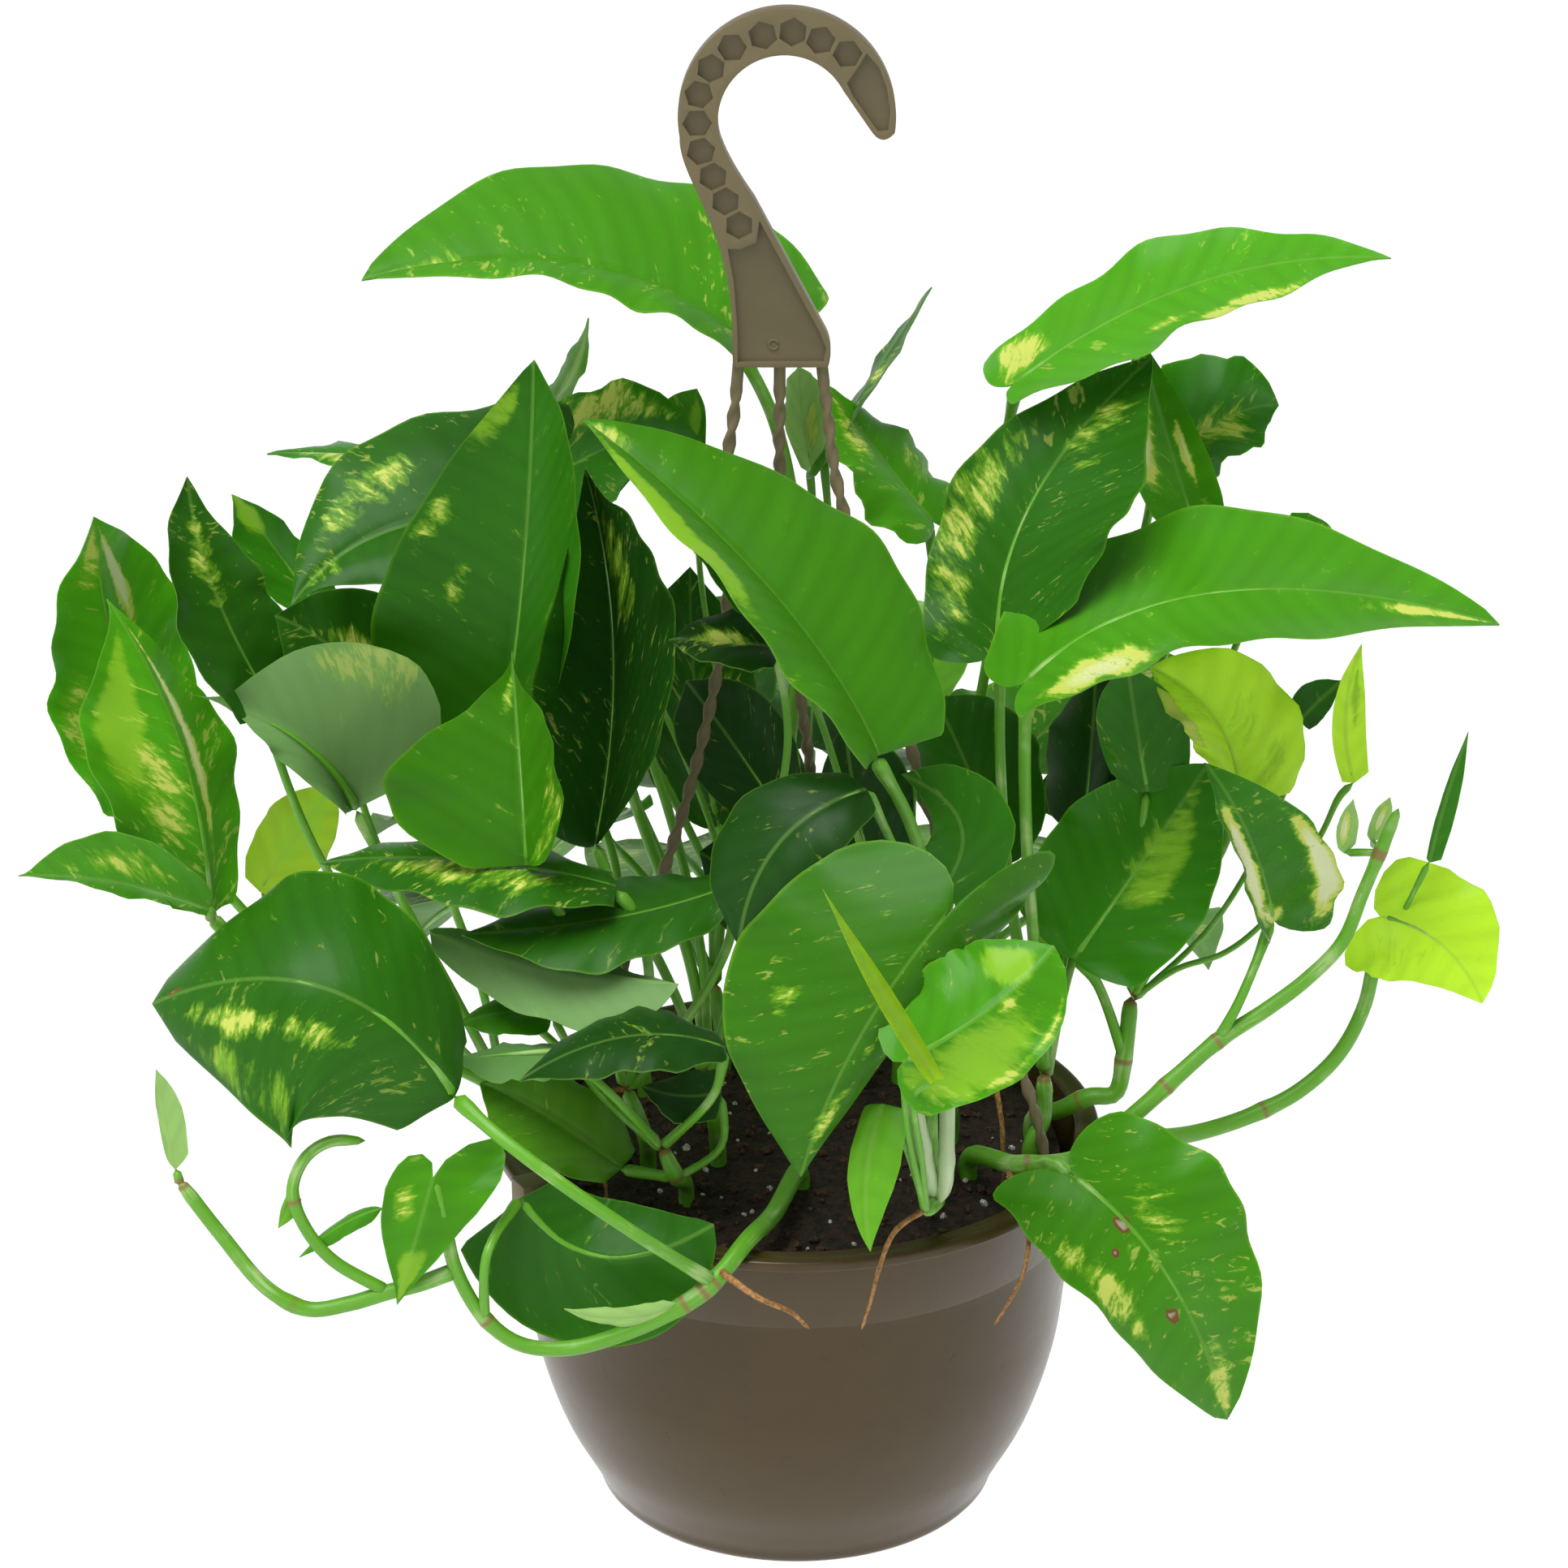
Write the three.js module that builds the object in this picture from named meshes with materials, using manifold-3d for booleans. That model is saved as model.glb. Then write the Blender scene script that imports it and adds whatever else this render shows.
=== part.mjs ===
// A pothos in a hanging pot: a round plastic pot filled with soil, a one-piece plastic hook whose
// three strands clip over the pot's rim, and leafy stems that stand in the soil and trail over it.
// Millimetres, +Z up, seen from the front along +Y. The origin is the crown of the hook's inside,
// the point that the whole thing hangs from.
import * as THREE from 'three';
import { mergeVertices } from 'three/addons/utils/BufferGeometryUtils.js';
import Module from 'manifold-3d';

const wasm = await Module();
wasm.setup();

// ---- driving dimensions -------------------------------------------------------------------------
const RIM_TOP = -359; // height of the pot's rim below the hook's crown
const POT_X = 4; // the weight of the leaves pulls the pot this far off the hook's line
const RIM_RADIUS = 101.6; // an 8 inch hanging pot
const RIM_BAND = 8.4; // from the rim's outside to its inside
const POT_WALL = 2.4;
const POT_SIDES = 28;
const POST_SIDES = 7;
const CURVE_SEGMENTS = 5;
const DRAIN = { count: 5, radius: 3.5, circle: 42 };
const SOIL_EDGE = -10; // the soil's level below the rim at the wall, and at the top of its mound
const SOIL_MOUND = -7;
const SOIL_SHOULDER = { radius: 62, rise: 0.8 }; // where the mound is higher than a straight slope
const SOIL_LEAN = 0.7; // the soil's upper edge is this much wider than the row of the wall below it
const STEM_DEPTH = 20; // how deep a stem stands in the soil
const STEM_RISE = 5; // how far it stands upright above the soil
const STEM_SIDES = 5;
const STEM_PITCH = 14; // length of a stem's straight slices
const HOLE_CLEARANCE = 1.3; // from a stem to the side of its hole in the soil
const STALK_STEP = new THREE.Vector3(0.13, -0.09, -0.45); // from one stalk's foot to the next
const GAP = 0.35; // clearance between pieces that touch
const SAME_POINT = 1e-4; // corners closer than this are one
const SCRAP = 20; // triangles of the largest loose sliver that fusing may leave

// Pot wall outside, from the rim down to the foot: radius, height below the rim's top.
const POT_OUTSIDE = [
  [RIM_RADIUS, 0], [RIM_RADIUS, -3.6], [95.7, -4], [93.6, -28], [91.3, -55.5], [89.1, -74],
  [84.4, -92.5], [79.2, -106.4], [72.9, -118.4], [69.1, -125.8], [67.7, -130.5],
];

// The hook is a flat strip, as x, z: a round crook, a neck and a wide plate at its foot.
const HOOK = { thick: 7, pocket: 2.2, foot: -97.5 };
const CROOK_OUTSIDE = { x: 0.8, z: -19.1, radius: 33.2, from: -8, to: 190 };
const CROOK_INSIDE = { x: 0, z: -20.2, radius: 20.2, from: 198, to: 28 };
const NECK_OUTSIDE = [[-32.4, -38], [-16.8, -52], [-16.2, -84]]; // curve down to the plate
const PLATE_FOOT = [-16, 13.6];
const PLATE_CORNER = [[15.6, -91], [12.8, -86]];
const NECK_INSIDE = [[-9.1, -44.5], [-16.5, -34], [-19.2, -26.4]]; // a straight, then a curve to the crook
const TIP_END = [[26.9, -23.8], [30.1, -28], [33.7, -23.7]]; // the rounded end of the crook
const CELL_RADIUS = 4.5;
const CELLS = [
  [19.1, 0.4], [11, 4.5], [2.6, 7], [-6.5, 6], [-15.8, 2.3], [-22.2, -4], [-25.9, -12], [-26.5, -20.8],
  [-25.4, -29.5], [-21.8, -37.3], [-18, -45], [-13.8, -52.5],
];
const PLATE_POCKET = [
  [-17.4, -59.8], [-15.6, -70], [-14.6, -84], [-14.5, -95.9], [12.2, -95.9], [13, -91.4], [11, -86.2],
  [-7.6, -51], [-8.6, -57.8], [-13.4, -59.8],
];
const TIP_POCKET = [
  [24.9, 0.6], [21.4, -5], [19, -8.4], [20.6, -12], [28.6, -23.4], [31.6, -23.2], [32.2, -17], [31, -9.5],
  [28.6, -3.6],
];

// The three strands below the plate: the direction of the clip on the rim, and the route to it,
// bowed round the leaves.
const STRAND = { radius: 1.8, sides: 5, pitch: 34, inClip: 3, aboveRim: 1.4 };
const CLIP = { width: 9, thick: 2.4, inside: 89, lip: 4, hold: 97.2 };
const STRANDS = [
  [210, [
    [-14.2, 0, -96.4], [-15.6, 0, -112], [-18, 0, -130], [-19, 3, -184], [-38, -8, -262], [-71, -33, -333],
  ]],
  [330, [
    [11.6, 0, -96.4], [13.4, -1, -112], [16.4, -4, -134], [32, -16, -190], [57, -31, -270], [81, -44, -335],
  ]],
  [90, [
    [-1.4, 0, -96.4], [-1.5, 2, -112], [-1.5, 6, -130], [2, 18, -190], [9, 36, -255], [6, 88, -338],
  ]],
];

// ---- leaves, as five points each ----------------------------------------------------------------
// base, where the blade meets its stalk; the middle of the rib; the tip; and the two margin points
// abreast of WIDEST on the rib. The shape is [lobe, taper, heel, twist]: how far the basal lobes
// reach behind the stalk, how fast the tip narrows, how broad the heel is, and the turn of the
// blade along the rib in degrees. The last points are the stalk's, from the stem to the blade.
const WIDEST = 0.3;
const FULL_HEEL = 0.812; // a heel as broad as the leaf at WIDEST
const LOBE_END = 0.2; // share of a leaf's rows that lie in its basal lobes
const LOBE_TURN = 150; // degrees that the margin turns round a lobe
const SWELL = { least: 1.27, perTaper: 1.6, taper: 0.55, perHeel: 1.9 }; // from the heel to the widest
const TIP_ROUND = { share: 0.5, power: 5 }; // how the margin rounds off before the tip
const ROW_EASE = 1.5; // rows lie closer together near the stalk
const COLUMN_EASE = 1.2; // and bend back towards the lobes away from the rib
const BLADE = 0.9; // thickness
const BOW = 0.08; // rise of each half blade between rib and margin, as a share of its width
const STALK = { thin: 0.9, perWidth: 0.016, intoBlade: 0.12, pitch: 50, foursquare: 1.9, hairpin: -0.4 };

// Blades wider than `over` are split into these rows and columns; the first that fits is used.
const SPLITS = [
  { over: 85, rows: [0, 0.1, 0.2, 0.4, 0.6, 0.82, 1], columns: 4 },
  { over: 38, rows: [0, 0.1, 0.2, 0.44, 0.72, 1], columns: 2 },
  { over: 0, rows: [0, 0.2, 0.6, 1], columns: 2 },
];

// Each stem: its name, its runs as [radius, points] from the soil on, and its leaves.
const STEMS = [
  ['vine_front_left', [
    [3.4, [[5, -36, -366], [-4, -74, -357], [-12, -97, -354], [-22, -110, -361], [-30, -114, -366],
      [-47, -115, -375], [-67, -116, -381], [-82, -117, -379], [-93, -118, -369], [-101, -119, -352],
      [-104, -120, -335]]],
    [2.6, [[-101, -119, -352], [-112, -120, -356], [-122, -120, -359], [-134, -120, -363],
      [-147, -120, -365], [-159, -120, -358], [-173, -118, -340], [-185, -117, -322]]],
    [2.0, [[-122, -120, -359], [-139, -121, -347], [-147, -121, -335], [-150, -120, -324],
      [-146, -118, -314], [-139, -115, -310], [-128, -112, -311]]],
  ], [
    [[-100, -110, -297], [-139, -115, -258], [-195, -88, -276], [-115, -75, -244], [-153, -122, -308],
      [0, 0.42, 0.4, 0], [[-22, -110, -361], [-46, -128, -334], [-69, -130, -315], [-88, -122, -303]]],
    [[-82, -100, -337], [-57, -103, -356], [-22, -106, -343], [-56, -90, -342], [-79, -104, -382],
      [0, 0.6, 0.812, 0], [[-93, -118, -369], [-91, -121, -345]]],
    [[-107, -119, -320], [-112, -125, -337], [-119, -125, -361], [-86, -114, -322], [-123, -124, -327],
      [0.2, 1.1, 0.812, 0], [[-104, -120, -335]]],
    [[-123, -118, -331], [-136, -120, -336], [-149, -120, -347], [-134, -115, -335], [-133, -120, -339],
      [0, 0.85, 0.812, 0], [[-104, -120, -335], [-115, -119, -331]]],
    [[-186, -116, -319], [-188, -116, -302], [-190, -116, -285], [-190, -116, -305], [-182, -116, -303],
      [0, 0.85, 0.812, 0], [[-185, -117, -322]]],
    [[-150, -120, -325], [-152, -120, -330], [-155, -120, -337], [-153, -120, -328], [-148, -120, -330],
      [0, 0.85, 0.812, 0], [[-150, -120, -324]]],
    [[-33, -116, -365], [-49, -118, -369], [-68, -120, -365], [-47, -118, -365], [-47, -116, -373],
      [0, 0.85, 0.812, 0], [[-30, -114, -366]]],
  ]],
  ['vine_right', [
    [3.4, [[61, -26, -366], [77, -58, -347], [96, -48, -349], [114, -44, -335], [127, -40, -324],
      [140, -35, -314], [156, -30, -305], [169, -28, -295], [180, -26, -283], [186, -25, -266],
      [191, -24, -252], [196, -24, -237]]],
    [3.0, [[109, -45, -340], [123, -30, -351], [138, -18, -355], [155, -12, -352], [171, -8, -345],
      [184, -5, -333], [192, -2, -317], [195, 0, -301]]],
  ], [
    [[159, -18, -279], [148, -30, -244], [133, -30, -219], [147, -38, -258], [181, -6, -268],
      [0.05, 0.75, 0.812, 0], [[140, -35, -314], [146, -34, -302], [152, -28, -290]]],
    [[181, -14, -257], [180, -14, -248], [183, -14, -238], [178, -14, -249], [185, -14, -249],
      [0, 0.85, 0.812, 0], [[191, -24, -252], [186, -20, -254]]],
    [[192, 0, -259], [194, 0, -251], [197, 0, -243], [191, 0, -251], [197, 0, -252],
      [0, 0.85, 0.812, 0], [[191, -24, -252]]],
    [[196, 0, -285], [216, -5, -293], [230, -10, -312], [224, 15, -276], [191, -20, -298],
      [0.1, 0.7, 0.812, 0], [[195, 0, -301]]],
    [[211, 0, -266], [215, 0, -244], [221, 0, -220], [212, 0, -251], [218, 0, -252],
      [0, 0.85, 0.812, 0], [[195, 0, -301], [206, 4, -281]]],
    [[92, -75, -342], [122, -90, -371], [143, -85, -425], [138, -60, -345], [84, -105, -358],
      [0.1, 0.5, 0.812, 0], [[77, -58, -347], [86, -70, -340]]],
  ]],
  ['vine_right_back', [
    [3.2, [[84, 4, -366], [92, -2, -355], [102, -6, -348], [110, -6, -347], [113, -4, -334],
      [115, 0, -314]]],
  ], [
    [[118, 0, -241], [114, 0, -220], [110, 0, -197], [101, 0, -220], [131, 0, -220],
      [0.05, 0.85, 0.812, 0], [[115, 0, -314], [115, 0, -277]]],
    [[148, 4, -245], [140, 6, -219], [118, 6, -200], [168, 16, -220], [132, -10, -221],
      [0.03, 0.7, 0.812, 0], [[115, 0, -314], [134, 2, -280], [144, 3, -261]]],
    [[185, 0, -238], [181, 0, -214], [185, 0, -190], [177, 0, -222], [188, 0, -220],
      [0, 0.85, 0.812, 0], [[115, 0, -314], [130, 0, -304], [145, 3, -300], [157, 5, -291],
        [167, 6, -276], [176, 4, -257], [181, 2, -243]]],
    [[95, -9, -296], [115, -5, -266], [137, -3, -230], [85, 6, -260], [132, -20, -284],
      [0.05, 0.7, 0.812, 0], [[113, -4, -334], [103, -4, -307]]],
    [[169, 20, -224], [175, 20, -217], [182, 20, -210], [168, 20, -213], [176, 20, -224],
      [0, 0.85, 0.812, 0], [[115, 0, -314], [144, 14, -292], [165, 22, -251]]],
  ]],
  ['stem_right', [
    [3.0, [[82, -15, -366], [86, -12, -354], [86, -10, -337]]],
  ], [
    [[83, 10, -294], [98, 10, -293], [116, 10, -293], [96, 20, -291], [95, 0, -297],
      [0, 0.85, 0.812, 0], [[86, -10, -337], [88, 2, -312]]],
    [[76, -20, -195], [136, -15, -167], [225, -20, -176], [96, 35, -166], [106, -60, -179],
      [0.05, 0.62, 0.5, 0], [[86, -10, -337], [83, -10, -301], [79, -13, -260], [77, -17, -224]]],
    [[69, 10, -195], [80, 30, -152], [119, 46, -108], [48, 36, -165], [106, 0, -151],
      [0.05, 0.75, 0.812, 0], [[86, -10, -337], [77, 15, -298], [71, 16, -240]]],
    [[124, 80, -160], [145, 80, -140], [165, 80, -134], [133, 105, -127], [148, 60, -148],
      [0.1, 0.85, 0.812, 0], [[86, -10, -337], [94, 25, -302], [103, 45, -237], [118, 70, -188]]],
    [[135, 55, -166], [125, 58, -136], [116, 60, -105], [112, 45, -143], [142, 50, -150],
      [0.05, 0.85, 0.812, 0], [[86, -10, -337], [96, 22, -301], [117, 38, -234], [132, 50, -193]]],
    [[155, 45, -181], [169, 45, -171], [180, 45, -166], [165, 60, -168], [165, 30, -176],
      [0.1, 0.85, 0.812, 0], [[86, -10, -337], [99, 18, -302], [127, 26, -244], [149, 40, -206]]],
    [[73, 30, -278], [63, 36, -251], [50, 40, -223], [45, 20, -253], [84, 50, -242],
      [0.1, 0.85, 0.812, 0], [[86, -10, -337], [81, 20, -315], [76, 27, -291]]],
    [[100, 28, -262], [102, 31, -237], [103, 35, -213], [86, 22, -237], [118, 40, -235],
      [0.1, 0.85, 0.812, 0], [[86, -10, -337], [96, 20, -309], [101, 28, -283]]],
  ]],
  ['stem_centre', [
    [3.0, [[56, 0, -366], [53, -36, -327], [52, -37, -309]]],
  ], [
    [[29, -70, -201], [-5, -50, -154], [-62, -20, -109], [46, -30, -167], [1, -100, -164],
      [0, 0.7, 0.55, 0], [[52, -37, -309], [48, -47, -265], [39, -58, -228]]],
    [[47, -50, -258], [56, -40, -237], [37, -35, -221], [42, -50, -241], [73, -35, -242],
      [0, 0.85, 0.812, 0], [[52, -37, -309], [55, -42, -281]]],
    [[25, -80, -208], [-2, -88, -223], [-14, -92, -255], [-13, -70, -212], [19, -95, -225],
      [0, 0.85, 0.4, 0], [[52, -37, -309], [42, -60, -256]]],
    [[1, -14, -180], [-17, -18, -156], [-32, -16, -140], [-4, -8, -159], [-17, -30, -165],
      [0.05, 0.85, 0.812, 0], [[52, -37, -309], [30, -22, -267], [11, -14, -209]]],
  ]],
  ['stem_front', [
    [3.2, [[53, -28, -366], [48, -80, -348], [44, -104, -339]]],
  ], [
    [[47, -118, -235], [21, -128, -272], [5, -125, -317], [-15, -100, -251], [65, -106, -244],
      [0.2, 0.8, 0.812, 0], [[48, -80, -348], [46, -92, -308], [48, -106, -266]]],
    [[35, -138, -272], [61, -138, -254], [80, -125, -240], [44, -120, -248], [64, -145, -278],
      [0.08, 0.45, 0.812, 0], [[44, -104, -339], [38, -122, -305]]],
    [[44, -150, -272], [27, -150, -242], [11, -150, -211], [28, -152, -255], [39, -148, -252],
      [0, 1, 0.812, 0], [[44, -104, -339], [42, -118, -315], [39, -138, -283]]],
    [[30, -115, -297], [25, -125, -317], [26, -135, -337], [20, -120, -311], [36, -125, -308],
      [0, 0.85, 0.812, 0], [[44, -104, -339], [36, -112, -310]]],
  ]],
  ['stem_left', [
    [3.0, [[-22, -19, -366], [-23, -32, -341], [-25, -30, -327]]],
  ], [
    [[-92, -2, -227], [-83, 2, -165], [-79, 14, -100], [-132, -8, -186], [-65, -18, -164],
      [0.1, 0.78, 0.812, 0], [[-25, -30, -327], [-48, -33, -298], [-74, -20, -260]]],
    [[-61, -15, -253], [-55, 5, -194], [-63, 5, -133], [-79, -35, -201], [-34, -40, -167],
      [0.03, 0.85, 0.812, 0], [[-25, -30, -327], [-41, -25, -289], [-57, -18, -263]]],
    [[-73, 38, -161], [-126, 37, -163], [-159, 12, -181], [-99, 81, -132], [-103, 5, -177],
      [0.1, 1.1, 0.812, 0], [[-25, -30, -327], [-32, 15, -307], [-51, 40, -258], [-66, 38, -200]]],
    [[-81, 45, -152], [-49, 45, -135], [-26, 45, -139], [-75, 80, -132], [-59, 20, -149],
      [0.05, 0.85, 0.812, 0], [[-25, -30, -327], [-29, 20, -300], [-45, 38, -243], [-69, 45, -191]]],
    [[-2, -40, -177], [-19, -40, -175], [-36, -38, -175], [-14, -26, -170], [-14, -56, -178],
      [0, 0.85, 0.812, 0], [[-25, -30, -327], [-11, -24, -275], [1, -30, -214]]],
  ]],
  ['stem_left_low', [
    [3.0, [[-45, -23, -366], [-46, -45, -340], [-51, -45, -326]]],
  ], [
    [[-81, -50, -246], [-83, -40, -213], [-86, -20, -185], [-132, -62, -217], [-66, -70, -207],
      [0, 1.9, 0.35, 0], [[-51, -45, -326], [-61, -46, -288], [-73, -48, -259]]],
    [[-53, -45, -255], [-99, -45, -246], [-147, -40, -249], [-83, -15, -252], [-82, -75, -253],
      [0, 0.85, 0.4, 0], [[-51, -45, -326], [-43, -45, -291], [-47, -45, -266]]],
    [[-17, -40, -257], [-55, -50, -264], [-101, -60, -265], [-43, -20, -261], [-40, -70, -271],
      [0, 0.85, 0.4, 0], [[-51, -45, -326], [-30, -42, -301], [-17, -40, -274]]],
  ]],
  ['stem_far_left', [
    [3.0, [[-73, -3, -366], [-81, -30, -342], [-92, -30, -333]]],
  ], [
    [[-139, -8, -244], [-155, -20, -215], [-189, -14, -202], [-157, -40, -217], [-116, -34, -174],
      [0, 2.2, 0.5, 0], [[-92, -30, -333], [-108, -14, -308], [-125, -6, -277]]],
    [[-182, -40, -267], [-190, -30, -214], [-214, -10, -171], [-216, -60, -220], [-173, -10, -233],
      [0, 1.2, 0.35, 0], [[-92, -30, -333], [-135, -34, -309], [-168, -36, -287]]],
    [[-182, -46, -263], [-210, -56, -249], [-240, -54, -248], [-200, -50, -259], [-198, -58, -231],
      [0, 1.3, 0.3, 0], [[-182, -42, -267]]],
    [[-205, 17, -251], [-218, 20, -199], [-219, 5, -149], [-235, 0, -217], [-198, 50, -207],
      [0.03, 0.9, 0.812, 0], [[-92, -30, -333], [-137, 0, -324], [-180, 14, -289]]],
    [[-166, -10, -202], [-181, -10, -165], [-188, 0, -134], [-186, -30, -181], [-159, 5, -183],
      [0.05, 0.85, 0.812, 0], [[-92, -30, -333], [-124, -12, -306], [-152, -4, -261],
        [-164, -6, -223]]],
    [[-152, 42, -196], [-165, 48, -178], [-181, 48, -155], [-175, 38, -179], [-155, 62, -183],
      [0.05, 0.85, 0.812, 0], [[-92, -30, -333], [-110, 10, -319], [-136, 36, -277], [-149, 42, -230]]],
    [[-124, 12, -233], [-138, 6, -201], [-162, -4, -179], [-151, -14, -212], [-117, 16, -189],
      [0.05, 0.85, 0.812, 0], [[-92, -30, -333], [-101, 4, -311], [-116, 12, -267]]],
    [[-175, 20, -285], [-162, 20, -265], [-148, 20, -246], [-177, 25, -264], [-154, 10, -275],
      [0, 0.85, 0.5, 0], [[-92, -30, -333], [-136, -4, -319], [-162, 14, -303]]],
  ]],
  ['stem_front_left', [
    [2.8, [[-32, -46, -366], [-35, -68, -345], [-39, -66, -336]]],
  ], [
    [[-113, -40, -273], [-70, -60, -276], [-33, -70, -278], [-84, -40, -276], [-80, -75, -290],
      [0, 0.85, 0.3, 0], [[-39, -66, -336], [-72, -52, -308], [-97, -44, -287]]],
    [[-18, -90, -290], [-49, -95, -284], [-82, -95, -299], [-40, -68, -286], [-36, -110, -290],
      [0, 0.85, 0.4, 0], [[-39, -66, -336], [-22, -84, -309]]],
    [[-70, -74, -300], [-88, -78, -299], [-102, -80, -299], [-84, -58, -304], [-82, -88, -303],
      [0, 0.85, 0.812, 0], [[-39, -66, -336], [-55, -80, -310]]],
    [[-52, -60, -347], [-76, -70, -323], [-95, -80, -307], [-58, -50, -325], [-78, -90, -332],
      [0, 0.85, 0.5, 0], [[-35, -68, -345]]],
    [[-20, -60, -320], [-33, -65, -319], [-45, -70, -313], [-28, -50, -317], [-30, -75, -324],
      [0, 0.85, 0.812, 0], [[-35, -68, -345], [-20, -62, -338]]],
    [[-74, -50, -297], [-90, -50, -297], [-104, -50, -301], [-85, -40, -295], [-84, -60, -300],
      [0, 0.85, 0.812, 0], [[-39, -66, -336], [-61, -58, -319]]],
  ]],
  ['stem_back_left', [
    [3.0, [[-10, 44, -366], [-10, 40, -349], [-9, 46, -327]]],
  ], [
    [[-16, 40, -98], [-69, 45, -77], [-134, 30, -78], [-25, 95, -65], [-43, 10, -82],
      [0.08, 0.66, 0.812, 0], [[-9, 46, -327], [1, 50, -253], [5, 52, -182], [-3, 45, -130]]],
    [[-84, 90, -143], [-72, 90, -127], [-65, 90, -107], [-77, 80, -126], [-72, 100, -137],
      [0.1, 1.1, 0.812, 0], [[-9, 46, -327], [-32, 62, -258], [-68, 82, -186]]],
    [[-30, 77, -157], [-30, 78, -142], [-29, 78, -128], [-42, 78, -139], [-26, 78, -142],
      [0.1, 0.85, 0.812, 0], [[-9, 46, -327], [-17, 58, -257], [-28, 74, -195]]],
    [[-123, 95, -159], [-148, 98, -157], [-176, 100, -157], [-142, 118, -160], [-139, 78, -156],
      [0.1, 0.85, 0.812, 0], [[-9, 46, -327], [-46, 54, -249], [-82, 75, -207], [-108, 90, -177]]],
    [[14, 8, -307], [-4, 12, -286], [-28, 14, -268], [-16, -8, -291], [5, 32, -273],
      [0.1, 0.85, 0.812, 0], [[-9, 46, -327], [9, 20, -327]]],
    [[0, 14, -257], [-15, 18, -234], [-32, 20, -210], [-31, 9, -237], [-2, 19, -220],
      [0.1, 0.85, 0.812, 0], [[-9, 46, -327], [5, 34, -306], [4, 20, -274]]],
    [[-23, 66, -278], [-30, 72, -238], [-32, 80, -191], [-53, 78, -238], [-9, 70, -232],
      [0.1, 0.85, 0.812, 0], [[-9, 46, -327], [-7, 52, -314], [-18, 62, -291]]],
  ]],
  ['stem_back_right', [
    [3.0, [[40, 44, -366], [42, 44, -350], [43, 50, -329]]],
  ], [
    [[9, 62, -150], [6, 66, -133], [5, 70, -118], [0, 58, -131], [14, 76, -133],
      [0.1, 0.85, 0.812, 0], [[43, 50, -329], [31, 58, -257], [13, 64, -192]]],
    [[75, 55, -119], [134, 60, -87], [195, 50, -76], [102, 90, -90], [115, 25, -101],
      [0.04, 0.95, 0.5, 0], [[43, 50, -329], [62, 70, -261], [73, 76, -190], [73, 68, -148]]],
    [[12, 60, -145], [33, 65, -113], [48, 70, -91], [25, 80, -128], [27, 50, -123],
      [0.1, 0.85, 0.812, 0], [[43, 50, -329], [34, 60, -257], [17, 62, -185]]],
    [[49, 54, -166], [32, 56, -145], [13, 58, -120], [50, 76, -154], [26, 34, -155],
      [0.1, 0.85, 0.812, 0], [[43, 50, -329], [44, 50, -253], [50, 52, -199]]],
    [[33, 15, -289], [25, 22, -260], [20, 30, -228], [12, 18, -264], [43, 30, -253],
      [0.1, 0.85, 0.812, 0], [[43, 50, -329], [37, 24, -317]]],
  ]],
];

// The stems of the far side stand in a ring and share one rule, with a seeded draw.
const FAR = {
  seed: 7, azimuths: [48, 81, 114, 147], foot: 62, leaves: 5, turn: 5, reach: [150, 100],
  height: [-322, -255], droop: [-55, 5], length: 68, shape: [0.1, 0.85, 0.812, 0],
  stemRadius: 2.8, run: [[0, 0], [3, 14], [8, 28]], // points of a stem: outwards and up from its foot
  elbow: 10, // how far a stalk's middle lies above a straight line
  arch: [0.17, 0.1], // rise of the blade at its widest and at its middle
  halfWidth: 0.39, // of its length
  scatter: { turn: 4, reach: 8, height: 8, droop: 10, length: 12 },
};

// ---- helpers ------------------------------------------------------------------------------------
const radians = THREE.MathUtils.degToRad;
const vector = (point) => new THREE.Vector3(...point);

// The closed solid of a three.js geometry, with only its positions kept.
function solidOf(geometry) {
  const bare = geometry.clone();
  bare.deleteAttribute('normal');
  bare.deleteAttribute('uv');
  const merged = mergeVertices(bare, SAME_POINT);
  const vertProperties = Float32Array.from(merged.attributes.position.array);
  const triVerts = Uint32Array.from(merged.index.array);
  return new wasm.Manifold(new wasm.Mesh({ numProp: 3, vertProperties, triVerts }));
}

function geometryOf(solid) {
  const { vertProperties, triVerts } = solid.getMesh();
  const geometry = new THREE.BufferGeometry();
  geometry.setAttribute('position', new THREE.BufferAttribute(vertProperties, 3));
  geometry.setIndex(new THREE.BufferAttribute(triVerts, 1));
  return geometry;
}

const fuse = (geometries) => geometries.map(solidOf).reduce((whole, part) => whole.add(part));
const carve = (whole, cuts) => cuts.map(solidOf).reduce((left, cut) => left.subtract(cut), solidOf(whole));

// The largest shell of a fused geometry: scraps and sealed hollows between leaves are dropped.
function largestShell(geometry) {
  const index = [...geometry.index.array];
  const parent = [...Array(geometry.attributes.position.count).keys()];
  const rootOf = (vertex) => {
    let at = vertex;
    while (parent[at] !== at) {
      parent[at] = parent[parent[at]];
      at = parent[at];
    }
    return at;
  };
  for (let t = 0; t < index.length; t += 3) {
    parent[rootOf(index[t + 1])] = rootOf(index[t]);
    parent[rootOf(index[t + 2])] = rootOf(index[t]);
  }
  const shells = new Map();
  for (let t = 0; t < index.length; t += 3) {
    const root = rootOf(index[t]);
    if (!shells.has(root)) shells.set(root, []);
    shells.get(root).push(index[t], index[t + 1], index[t + 2]);
  }
  const [largest, ...others] = [...shells.values()].sort((a, b) => b.length - a.length);
  const loose = others.filter((shell) => shell.length > 3 * SCRAP).map(([first]) => {
    return new THREE.Vector3().fromBufferAttribute(geometry.attributes.position, first).round().toArray();
  });
  if (loose.length) throw new Error(`leaves come off their stem at ${loose.join('; ')}`);
  geometry.setIndex(largest);
  return geometry;
}

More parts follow.
